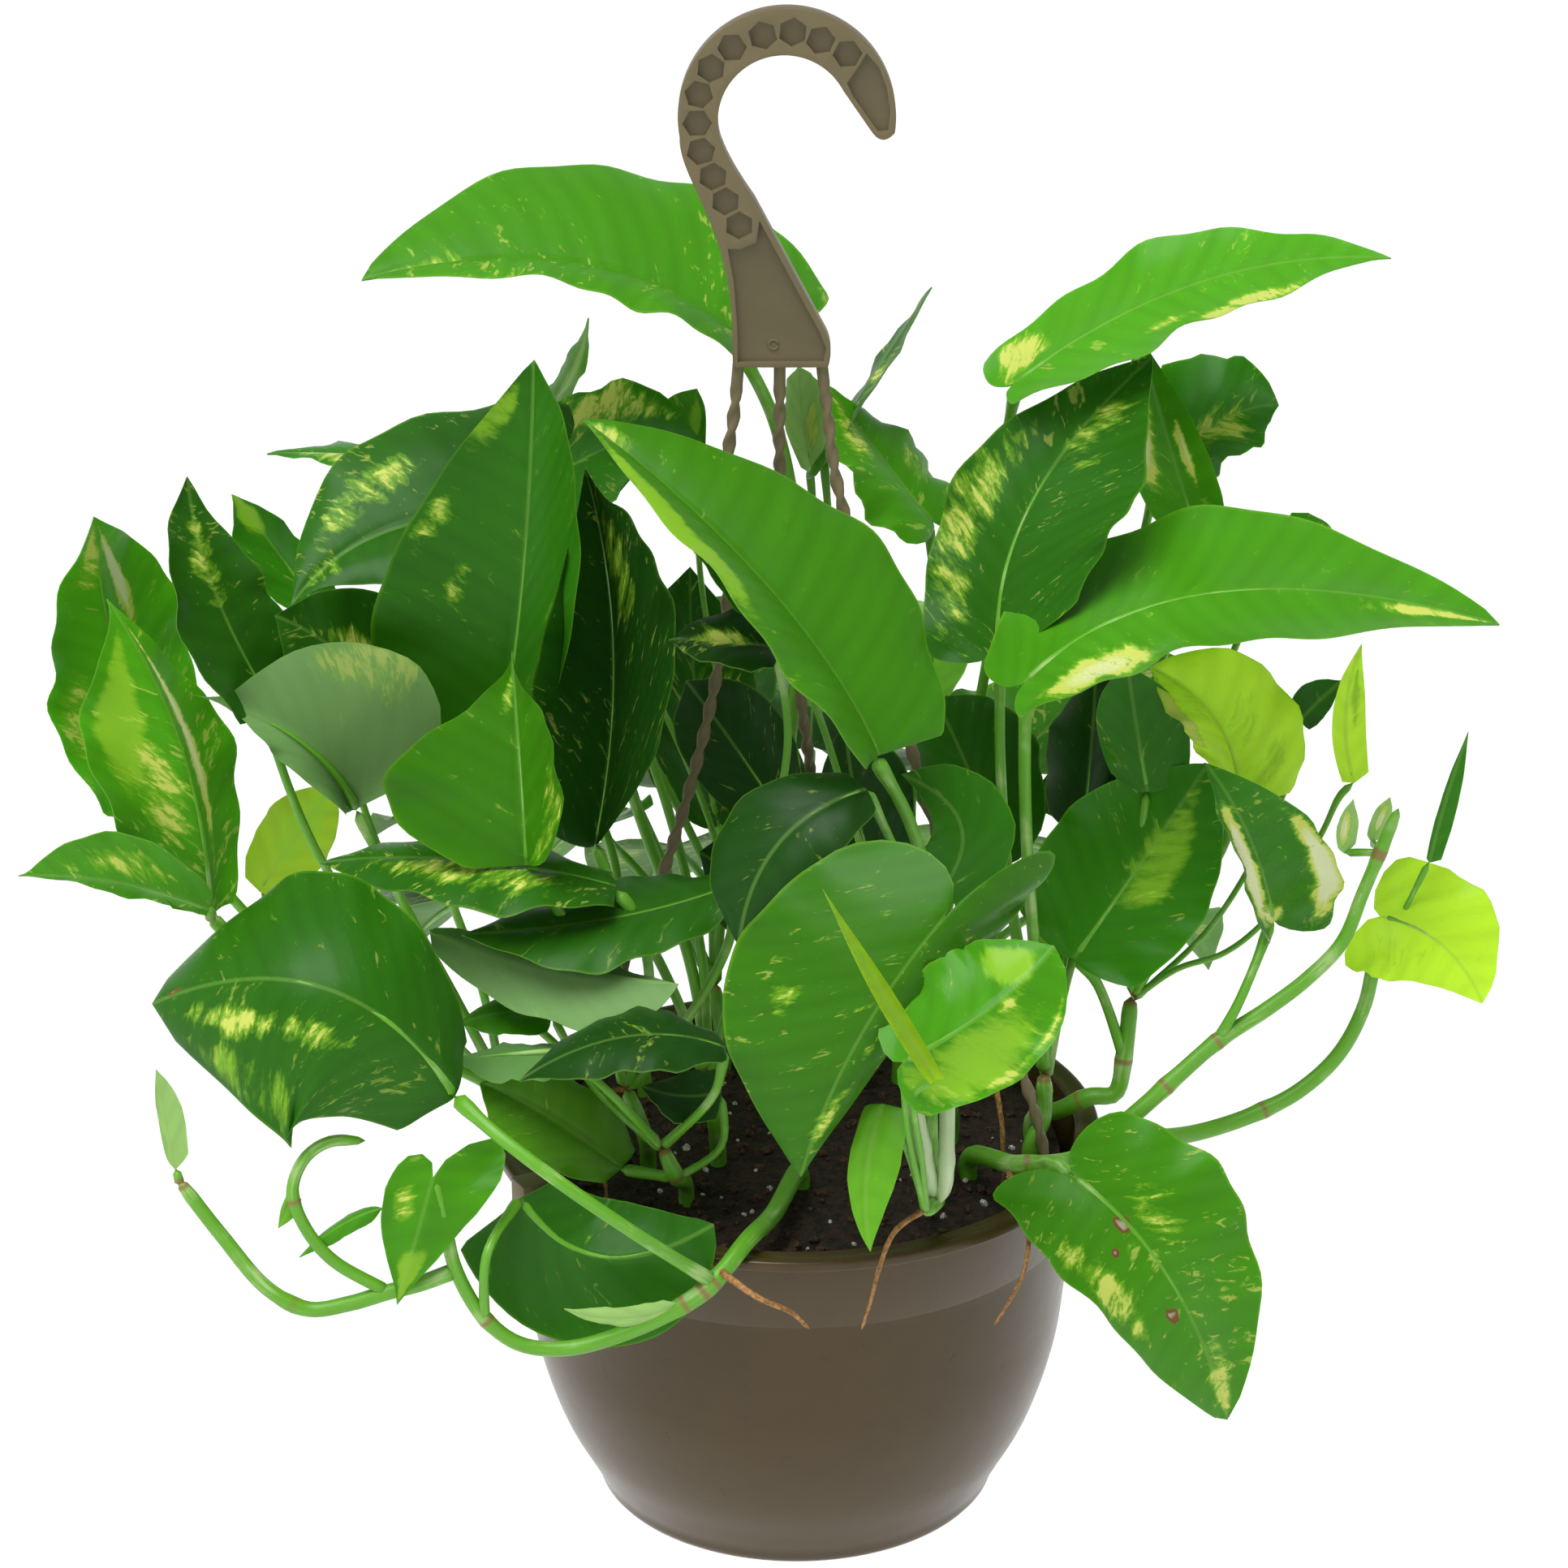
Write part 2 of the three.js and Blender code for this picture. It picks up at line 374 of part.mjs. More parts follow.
const outline = (points) => new THREE.Shape(points.map(([x, y]) => new THREE.Vector2(x, y)));

function polygon(sides, radius, start = 0) {
  const corner = (_, k) => {
    const angle = start + (2 * Math.PI * k) / sides;
    return [radius * Math.cos(angle), radius * Math.sin(angle)];
  };
  return outline(Array.from({ length: sides }, corner));
}

// A tube through points, in slices of about `pitch`.
function tube(points, radius, sides, pitch) {
  const extrudePath = new THREE.CatmullRomCurve3(points, false, 'centripetal');
  const steps = Math.max(2, Math.round(extrudePath.getLength() / pitch));
  return new THREE.ExtrudeGeometry(polygon(sides, radius), { steps, extrudePath, bevelEnabled: false });
}

// A flat piece with its outline in x and z, from y = front to y = back.
function slab(shape, front, back) {
  const settings = { depth: back - front, bevelEnabled: false, curveSegments: CURVE_SEGMENTS };
  const geometry = new THREE.ExtrudeGeometry(shape, settings);
  return geometry.rotateX(Math.PI / 2).translate(0, back, 0);
}

// A solid of revolution about +Z, from its profile as radius, height.
function lathe(profile) {
  const points = profile.map(([r, z]) => new THREE.Vector2(r, z));
  return new THREE.LatheGeometry(points, POT_SIDES).rotateX(Math.PI / 2);
}

// An upright round post with its foot at z.
function post(radius, height, [x, y], z) {
  const geometry = new THREE.CylinderGeometry(radius, radius, height, POST_SIDES);
  return geometry.rotateX(Math.PI / 2).translate(x, y, z + height / 2);
}

// ---- pot and soil, in the pot's own frame: on its axis, z = 0 at the rim's top ------------------
const FOOT = POT_OUTSIDE.at(-1)[1];
const INSIDE = POT_OUTSIDE.filter((_, i) => i > 2 && i % 2 === 0).map(([r, z]) => [r - POT_WALL, z]);
INSIDE.at(-1)[1] = FOOT + POT_WALL;

// An open bucket with a thick rim and drain holes in its floor.
function pot() {
  const outside = [...POT_OUTSIDE].reverse();
  const profile = [[0, FOOT], ...outside, [RIM_RADIUS - RIM_BAND, 0], ...INSIDE, [0, FOOT + POT_WALL]];
  const holes = Array.from({ length: DRAIN.count }, (_, k) => {
    const angle = (2 * Math.PI * k) / DRAIN.count;
    const spot = [DRAIN.circle * Math.cos(angle), DRAIN.circle * Math.sin(angle)];
    return post(DRAIN.radius, 3 * POT_WALL, spot, FOOT - POT_WALL);
  });
  return geometryOf(carve(lathe(profile), holes));
}

// Soil to the floor of the pot, with a low mound and a plain hole for each stem.
function soil(stands) {
  const wall = INSIDE.map(([r, z]) => [r - GAP, z]).reverse();
  wall[0][1] += GAP;
  const edge = wall.at(-1)[0] + SOIL_LEAN;
  const shoulder = [SOIL_SHOULDER.radius, (SOIL_EDGE + SOIL_MOUND) / 2 + SOIL_SHOULDER.rise];
  const mound = [[edge, SOIL_EDGE], shoulder, [0, SOIL_MOUND]];
  const holes = stands.map(([radius, [x, y]]) => {
    const foot = SOIL_MOUND - STEM_DEPTH - 2 * GAP;
    return post(radius + HOLE_CLEARANCE, STEM_DEPTH + STEM_RISE, [x - POT_X, y], foot);
  });
  return geometryOf(carve(lathe([[0, wall[0][1]], ...wall, ...mound]), holes));
}

// ---- hook, strands and clips --------------------------------------------------------------------
function hookOutline() {
  const arc = (shape, { x, z, radius, from, to }, clockwise) => {
    shape.absarc(x, z, radius, radians(from), radians(to), clockwise);
  };
  const shape = new THREE.Shape();
  arc(shape, CROOK_OUTSIDE, false);
  shape.bezierCurveTo(...NECK_OUTSIDE.flat());
  PLATE_FOOT.forEach((x) => shape.lineTo(x, HOOK.foot));
  shape.quadraticCurveTo(...PLATE_CORNER.flat());
  const lineThenCurve = ([start, ...curve]) => {
    shape.lineTo(...start);
    shape.quadraticCurveTo(...curve.flat());
  };
  lineThenCurve(NECK_INSIDE);
  arc(shape, CROOK_INSIDE, true);
  lineThenCurve(TIP_END);
  return shape;
}

// A hexagonal pocket with flats towards its neighbours along the strip.
function cell(k) {
  const before = CELLS[Math.max(k - 1, 0)];
  const after = CELLS[Math.min(k + 1, CELLS.length - 1)];
  const along = Math.atan2(after[1] - before[1], after[0] - before[0]);
  const points = polygon(6, CELL_RADIUS, along + Math.PI / 6).getPoints();
  return outline(points.map(({ x, y }) => [x + CELLS[k][0], y + CELLS[k][1]]));
}

// The clip's section hooks over the rim from the inside and under its lip.
function clip(azimuth) {
  const { width, thick, inside, lip, hold } = CLIP;
  const outside = RIM_RADIUS + GAP;
  const under = -lip - GAP;
  const section = [
    [inside, GAP], [outside, GAP], [outside, under], [hold, under], [hold, under - thick],
    [outside + thick, under - thick], [outside + thick, GAP + thick], [inside, GAP + thick],
  ];
  const geometry = slab(outline(section), -width / 2, width / 2);
  return geometry.rotateZ(radians(azimuth)).translate(POT_X, 0, RIM_TOP);
}

function strand([azimuth, route]) {
  const radius = CLIP.hold - STRAND.inClip;
  const x = POT_X + radius * Math.cos(radians(azimuth));
  const y = radius * Math.sin(radians(azimuth));
  const points = [...route, [x, y, RIM_TOP + STRAND.aboveRim]].map(vector);
  return tube(points, STRAND.radius, STRAND.sides, STRAND.pitch);
}

function hanger() {
  const half = HOOK.thick / 2;
  const shapes = [...CELLS.keys()].map(cell).concat(outline(PLATE_POCKET), outline(TIP_POCKET));
  const pockets = shapes.flatMap((shape) => [
    slab(shape, -half - 1, -half + HOOK.pocket),
    slab(shape, half - HOOK.pocket, half + 1),
  ]);
  const strands = STRANDS.flatMap((one) => [strand(one), clip(one[0])]);
  return geometryOf(carve(slab(hookOutline(), -half, half), pockets).add(fuse(strands)));
}

// ---- leaf surface -------------------------------------------------------------------------------
// Point and direction at share k of the rib, straight on behind the stalk where k is below 0.
function ribAt({ base, rib, tip }, k) {
  const middle = rib.clone().multiplyScalar(2).addScaledVector(base, -0.5).addScaledVector(tip, -0.5);
  const t = Math.max(k, 0);
  const point = base.clone().multiplyScalar((1 - t) ** 2);
  point.addScaledVector(middle, 2 * t * (1 - t)).addScaledVector(tip, t * t);
  const start = middle.clone().sub(base);
  if (k < 0) point.addScaledVector(start, 2 * k);
  const direction = start.multiplyScalar(1 - t).addScaledVector(tip.clone().sub(middle), t).normalize();
  return { point, direction };
}

// The margin at share s of its length: how far along the rib, and how far across.
function margin(s, [lobe, taper, heel]) {
  if (s < LOBE_END) {
    const angle = (radians(LOBE_TURN) * s) / LOBE_END;
    const share = (1 - Math.cos(angle)) / (1 - Math.cos(radians(LOBE_TURN)));
    return [-lobe * Math.sin(angle), heel * share];
  }
  const q = (s - LOBE_END) / (1 - LOBE_END);
  const grown = SWELL.least + SWELL.perTaper * (taper - SWELL.taper) + SWELL.perHeel * (FULL_HEEL - heel);
  const rounded = 1 - TIP_ROUND.share * q ** TIP_ROUND.power;
  const back = lobe * Math.sin(radians(LOBE_TURN));
  return [q - back * (1 - q), (1 - q) ** taper * (heel + grown * q) * rounded];
}

// The leaf's middle surface: s runs from the stalk to the tip, u from the left margin to the right.
function surfacePoint(leaf, s, u) {
  const wide = ribAt(leaf, WIDEST);
  const left = leaf.left.clone().sub(wide.point);
  const right = leaf.right.clone().sub(wide.point);
  const normal = left.clone().cross(wide.direction).normalize();
  normal.add(wide.direction.clone().cross(right).normalize()).normalize();
  const [reach, across] = margin(s, leaf.shape);
  const share = Math.abs(u);
  const inner = s ** ROW_EASE;
  const along = inner + (reach - inner) * share ** COLUMN_EASE;
  const { point, direction } = ribAt(leaf, along);
  const bend = new THREE.Quaternion().setFromUnitVectors(wide.direction, direction);
  const twist = radians(leaf.shape[3]) * (along - WIDEST);
  const side = (u < 0 ? left : right).clone().applyQuaternion(bend).applyAxisAngle(direction, twist);
  const width = (left.length() + right.length()) / 2;
  const bow = BOW * width * across * share * (1 - share) * 4;
  return point.addScaledVector(side, across * share).addScaledVector(normal.applyQuaternion(bend), bow);
}

const leafWidth = (leaf) => leaf.left.distanceTo(leaf.right);

// Rows of points over the blade, moved off its middle surface by `rise`.
function bladeFace(grid, rise) {
  const last = grid.length - 1;
  const columns = grid[0].length - 1;
  return grid.map((row, i) => row.map((point, j) => {
    const at = THREE.MathUtils.clamp(i, 1, last - 1);
    const column = i === at ? j : columns / 2;
    const along = grid[at + 1][column].clone().sub(grid[at - 1][column]);
    const across = grid[at][Math.min(column + 1, columns)].clone().sub(grid[at][Math.max(column - 1, 0)]);
    return point.clone().addScaledVector(across.cross(along).normalize(), rise);
  }));
}

// A closed thin blade whose two faces are split into the same triangles.
function blade(leaf) {
  const { rows, columns } = SPLITS.find(({ over }) => leafWidth(leaf) > over);
  const shares = Array.from({ length: columns + 1 }, (_, j) => (2 * j) / columns - 1);
  const grid = rows.map((s) => shares.map((u) => surfacePoint(leaf, s, u)));
  const top = bladeFace(grid, BLADE / 2);
  const under = bladeFace(grid, -BLADE / 2);
  const corners = [];
  const triangle = (a, b, c) => {
    const flat = a.equals(b) || b.equals(c) || c.equals(a);
    if (!flat) corners.push(a, b, c);
  };
  const quad = (a, b, c, d) => {
    triangle(a, b, c);
    triangle(a, c, d);
  };
  for (let i = 0; i < rows.length - 1; i += 1) {
    for (let j = 0; j < columns; j += 1) {
      quad(top[i][j], top[i][j + 1], top[i + 1][j + 1], top[i + 1][j]);
      quad(under[i + 1][j + 1], under[i][j + 1], under[i][j], under[i + 1][j]);
    }
    quad(under[i][0], top[i][0], top[i + 1][0], under[i + 1][0]);
    quad(top[i][columns], under[i][columns], under[i + 1][columns], top[i + 1][columns]);
  }
  return new THREE.BufferGeometry().setFromPoints(corners);
}

// A leaf's stalk, from the stem to a little way up the rib, or to the base if the rib turns back.
function stalk(leaf) {
  const arriving = leaf.base.clone().sub(leaf.stalk.at(-1)).normalize();
  const turnsBack = arriving.dot(ribAt(leaf, 0).direction) < STALK.hairpin;
  const onward = turnsBack ? [] : [ribAt(leaf, STALK.intoBlade).point];
  const points = [...leaf.stalk, leaf.base, ...onward];
  const radius = STALK.thin + STALK.perWidth * leafWidth(leaf);
  return tube(points, radius, radius > STALK.foursquare ? 4 : 3, STALK.pitch);
}

// ---- stems --------------------------------------------------------------------------------------
const SOIL_TOP = RIM_TOP + SOIL_MOUND;

// A stem stands upright in its hole in the soil.
function rooted([[x, y], ...rest]) {
  const heights = [SOIL_TOP - STEM_DEPTH, SOIL_TOP - STEM_DEPTH / 3, SOIL_TOP + STEM_RISE];
  return [...heights.map((z) => [x, y, z]), ...rest];
}

// Leaf k of a stem. Stalks that leave the stem together start a little below one another.
function leafFrom([base, rib, tip, left, right, shape, route], k) {
  const [b, m, t, l, r] = [base, rib, tip, left, right].map(vector);
  const points = route.map(vector);
  points[0].addScaledVector(STALK_STEP, k);
  return { base: b, rib: m, tip: t, left: l, right: r, shape, stalk: points };
}

function leafyStem(runs, leaves) {
  const tubes = runs.map(([radius, points], i) => {
    const route = i ? points : rooted(points);
    return tube(route.map(vector), radius, STEM_SIDES, STEM_PITCH);
  });
  const grown = leaves.map(leafFrom);
  return largestShell(geometryOf(fuse([...tubes, ...grown.map(stalk), ...grown.map(blade)])));
}

// A plain draw of numbers from 0 to 1, the same on every run.
function seeded(seed) {
  let state = seed;
  return () => {
    state = (Math.imul(state, 1664525) + 1013904223) >>> 0;
    return state / 2 ** 32;
  };
}

// A stem of the far side: its leaves hang out from it, the low ones far out and drooping, the high
// ones close in and nearly level, each turned a little to one side or the other.
function farStem(azimuth, draw) {
  const { lerp } = THREE.MathUtils;
  const polar = (radius, degrees, z) => {
    return [POT_X + radius * Math.cos(radians(degrees)), radius * Math.sin(radians(degrees)), z];
  };
  const run = FAR.run.map(([out, rise]) => polar(FAR.foot + out, azimuth, SOIL_TOP + rise));
  const leaves = Array.from({ length: FAR.leaves }, (_, i) => {
    const level = i / (FAR.leaves - 1);
    const heading = azimuth + (i % 2 ? 1 : -1) * (FAR.turn + FAR.scatter.turn * draw());
    const radius = lerp(...FAR.reach, level) + FAR.scatter.reach * draw();
    const z = lerp(...FAR.height, level) + FAR.scatter.height * draw();
    const droop = radians(lerp(...FAR.droop, level) + FAR.scatter.droop * draw());
    const length = FAR.length + FAR.scatter.length * draw();
    const rib = (share, lift) => {
      const along = share * length;
      return polar(radius + along * Math.cos(droop), heading, z + along * Math.sin(droop) + lift * length);
    };
    const beside = (sign) => {
      const [x, y, height] = rib(WIDEST, FAR.arch[0]);
      const aside = FAR.halfWidth * length * sign;
      return [x - aside * Math.sin(radians(heading)), y + aside * Math.cos(radians(heading)), height];
    };
    const top = run.at(-1);
    const elbow = polar((radius + FAR.foot) / 2, heading, (z + top[2]) / 2 + FAR.elbow);
    const ends = [rib(0, 0), rib(0.5, FAR.arch[1]), rib(1, 0)];
    return [...ends, beside(1), beside(-1), FAR.shape, [top, elbow]];
  });
  return [[[FAR.stemRadius, run]], leaves];
}

// ---- the scene ----------------------------------------------------------------------------------
const plastic = new THREE.MeshStandardMaterial({ color: 0x695c4b, roughness: 0.35, metalness: 0 });
const hookPlastic = new THREE.MeshStandardMaterial({ color: 0x6e6250, roughness: 0.5, metalness: 0 });
const earth = new THREE.MeshStandardMaterial({ color: 0x2b2118, roughness: 0.95, metalness: 0 });
const leafGreen = new THREE.MeshStandardMaterial({ color: 0x3f8f2a, roughness: 0.4, metalness: 0 });

const plant = new THREE.Group();

function place(name, geometry, material, parent = plant) {
  const mesh = new THREE.Mesh(geometry, material);
  mesh.name = name;
  parent.add(mesh);
}

const draw = seeded(FAR.seed);
const farStems = FAR.azimuths.map((azimuth, k) => [`stem_far_${k + 1}`, ...farStem(azimuth, draw)]);
const stems = [...STEMS, ...farStems];

const potGroup = new THREE.Group();
potGroup.position.set(POT_X, 0, RIM_TOP);
plant.add(potGroup);
place('pot', pot(), plastic, potGroup);
place('soil', soil(stems.map(([, [[radius, [foot]]]]) => [radius, foot])), earth, potGroup);
place('hanger', hanger(), hookPlastic);
stems.forEach(([name, runs, leaves]) => place(name, leafyStem(runs, leaves), leafGreen));

export default plant;
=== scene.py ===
"""A pothos in a brown hanging pot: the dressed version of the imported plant.

Each leafy stem is grown again from the leaf and stem points of the solid that it replaces, with
finer blades, veins, marks, nodes and roots. The pot, the soil and the moulded hanger get finer
meshes of the same sizes. Points are in millimetres and meshes in metres, in the part's own frame:
+Z up, seen from the front along +Y, with the origin at the crown of the hook's inside.
"""

from __future__ import annotations

import logging
import random
import sys
from collections.abc import Callable, Iterable, Iterator, Mapping, Sequence
from dataclasses import dataclass
from enum import Enum
from math import atan2, cos, exp, hypot, pi, radians, sin, sqrt
from typing import Any, Union

import bmesh
import bpy
from bmesh.types import BMFace, BMVert
from bpy.types import Material, Object
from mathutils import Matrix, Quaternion, Vector, noise


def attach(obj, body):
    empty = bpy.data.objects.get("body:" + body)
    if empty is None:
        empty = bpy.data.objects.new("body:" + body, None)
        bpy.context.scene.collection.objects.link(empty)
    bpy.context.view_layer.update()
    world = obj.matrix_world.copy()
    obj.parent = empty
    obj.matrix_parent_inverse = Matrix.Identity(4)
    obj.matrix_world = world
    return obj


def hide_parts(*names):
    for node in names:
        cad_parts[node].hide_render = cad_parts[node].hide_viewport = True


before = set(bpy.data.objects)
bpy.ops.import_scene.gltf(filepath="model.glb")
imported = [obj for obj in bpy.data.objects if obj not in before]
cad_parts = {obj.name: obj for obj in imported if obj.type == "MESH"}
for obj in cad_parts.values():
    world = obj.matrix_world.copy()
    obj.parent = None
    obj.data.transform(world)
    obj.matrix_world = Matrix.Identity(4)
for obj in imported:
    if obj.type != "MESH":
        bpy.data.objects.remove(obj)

LOG = logging.getLogger("pothos")
MM = 0.001
MERGE = 1e-4
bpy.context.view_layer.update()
CRISP = radians(30)
Point = Sequence[float]
Pair = tuple[float, float]

# ---- sizes shared with the solids, in millimetres ------------------------------------------------
RIM_TOP = -359.0
POT_X = 4.0
RIM_RADIUS = 101.6
SOIL_EDGE = -10.0
SOIL_MOUND = -7.0
SOIL_TOP = RIM_TOP + SOIL_MOUND
STEM_DEPTH = 20.0
STALK_STEP = Vector((0.13, -0.09, -0.45))
GAP = 0.35
EYE = Vector((0.0, -1224.0, 249.0))


def srgb(code: str) -> tuple[float, float, float, float]:
    """Turns a six-digit colour code into a linear colour.

    Args:
        code: Red, green and blue as hexadecimal digits.

    Returns:
        Linear red, green, blue and an alpha of 1.
    """
    parts = [int(code[i : i + 2], 16) / 255 for i in (0, 2, 4)]
    linear = [c / 12.92 if c <= 0.04045 else ((c + 0.055) / 1.055) ** 2.4 for c in parts]
    return (*linear, 1.0)


# ---- shader expressions --------------------------------------------------------------------------
@dataclass(frozen=True)
class Wire:
    """A number that leaves a node, with Python's operators adding Math nodes to it."""

    bench: Bench
    socket: bpy.types.NodeSocket

    def _math(self, operation: str, first: Term, second: Term) -> Wire:
        """Adds one Math node and takes its result."""
        sockets = {0: first, 1: second}
        return self.bench.wire(0, "ShaderNodeMath", {"operation": operation}, sockets)

    def __add__(self, other: Term) -> Wire:
        """Adds a term."""
        return self._math("ADD", self, other)

    def __sub__(self, other: Term) -> Wire:
        """Takes a term away."""
        return self._math("SUBTRACT", self, other)

    def __rsub__(self, other: Term) -> Wire:
        """Takes this away from a term."""
        return self._math("SUBTRACT", other, self)

    def __mul__(self, other: Term) -> Wire:
        """Multiplies by a term."""
        return self._math("MULTIPLY", self, other)

    def __truediv__(self, other: Term) -> Wire:
        """Divides by a term."""
        return self._math("DIVIDE", self, other)

    def __abs__(self) -> Wire:
        """Drops the sign."""
        return self._math("ABSOLUTE", self, 0.0)

    def clamped(self) -> Wire:
        """Keeps it between 0 and 1."""
        return self._math("MAXIMUM", self._math("MINIMUM", self, 1.0), 0.0)

    def wave(self) -> Wire:
        """Distance from the nearest whole number, from 0 to 0.5."""
        return self._math("PINGPONG", self, 0.5)

    __radd__ = __add__
    __rmul__ = __mul__


Term = Union[Wire, float]


class Bench:
    """The node tree of one material, and the few nodes that its finishes share."""

    def __init__(self, name: str) -> None:
        """Starts an empty tree.

        Args:
            name: The material's name.
        """
        self.material = bpy.data.materials.new(name)
        self.material.use_nodes = True
        self.tree = self.material.node_tree
        self.tree.nodes.clear()

    def node(
        self, kind: str, settings: Mapping[str, Any], sockets: Mapping[Any, Any]
    ) -> bpy.types.Node:
        """Adds a node, sets its settings first and then its sockets.

        Args:
            kind: The node's type name.
            settings: Properties of the node.
            sockets: Values or links, by socket name or index.

        Returns:
            The new node.
        """
        made = self.tree.nodes.new(kind)
        for key, value in settings.items():
            setattr(made, key, value)
        for key, value in sockets.items():
            if isinstance(value, Wire):
                self.tree.links.new(value.socket, made.inputs[key])
            else:
                made.inputs[key].default_value = value
        return made

    def wire(
        self, output: Any, kind: str, settings: Mapping[str, Any], sockets: Mapping[Any, Any]
    ) -> Wire:
        """Adds a node and takes one of its outputs, by name or index."""
        return Wire(self, self.node(kind, settings, sockets).outputs[output])

    def mark(self, name: str, output: str) -> Wire:
        """Reads an attribute of the mesh, as its Vector, Color or Alpha."""
        return self.wire(output, "ShaderNodeAttribute", {"attribute_name": name}, {})

    def place(self) -> Wire:
        """The point on the piece, in millimetres."""
        return self.stretched(self.wire("Object", "ShaderNodeTexCoord", {}, {}), (1000, 1000, 1000))

    def stretched(self, vector: Wire, scale: Point) -> Wire:
        """The vector with each of its parts multiplied."""
        sockets = {0: vector, 1: tuple(scale)}
        return self.wire(0, "ShaderNodeVectorMath", {"operation": "MULTIPLY"}, sockets)

    def shaded(self, colour: Wire, shade: Wire) -> Wire:
        """The colour made lighter or darker by a number."""
        sockets = {0: colour, "Scale": shade}
        return self.wire(0, "ShaderNodeVectorMath", {"operation": "SCALE"}, sockets)

    def split(self, vector: Wire) -> list[Wire]:
        """The three parts of a vector."""
        made = self.node("ShaderNodeSeparateXYZ", {}, {0: vector})
        return [Wire(self, made.outputs[k]) for k in range(3)]

    def noise(self, vector: Wire, scale: float, detail: float = 3.0, warp: float = 0.0) -> Wire:
        """Smooth noise round 0.5, with finer layers and a warp."""
        sockets = {"Vector": vector, "Scale": scale, "Detail": detail, "Distortion": warp}
        return self.wire("Fac", "ShaderNodeTexNoise", {}, sockets)

    def cells(self, vector: Wire, scale: float) -> Wire:
        """Distance to the nearest of a scatter of points."""
        return self.wire("Distance", "ShaderNodeTexVoronoi", {}, {"Vector": vector, "Scale": scale})

    def step(self, value: Wire, low: float, high: float) -> Wire:
        """A soft step: 0 at low, 1 at high, or the other way round."""
        sockets = {"Value": value, "From Min": low, "From Max": high}
        return self.wire("Result", "ShaderNodeMapRange", {"interpolation_type": "SMOOTHSTEP"}, sockets)

    def mix(self, share: Term, first: Any, second: Any) -> Wire:
        """Blends two colours, given as codes or wires, by the share of the second."""
        ends = [srgb(end) if isinstance(end, str) else end for end in (first, second)]
        return self.wire(2, "ShaderNodeMix", {"data_type": "RGBA"}, {0: share, 6: ends[0], 7: ends[1]})

    def bump(self, height: Wire, strength: float, depth: float) -> Wire:
        """The surface normal tilted by a height, whose full rise is a depth in millimetres."""
        sockets = {"Strength": strength, "Distance": depth * MM, "Height": height}
        return self.wire("Normal", "ShaderNodeBump", {}, sockets)

    def surface(self, sockets: Mapping[str, Any]) -> Material:
        """Ends the tree in one shader.

        Args:
            sockets: The shader's own sockets, as values or wires.

        Returns:
            The finished material.
        """
        shader = self.node("ShaderNodeBsdfPrincipled", {}, sockets)
        made = self.node("ShaderNodeOutputMaterial", {}, {})
        self.tree.links.new(shader.outputs[0], made.inputs["Surface"])
        return self.material


# ---- finishes ------------------------------------------------------------------------------------
class Tone(Enum):
    """Greens of the blades, as the light of a bright room shows them."""

    FRESH = "479312"
    LEAFY = "63a822"
    MID = "347d10"
    DEEP = "296310"
    DARK = "1a430e"
    LIME = "a9d62c"
    PALE = "98c26c"
    SILVER = "6f9c54"


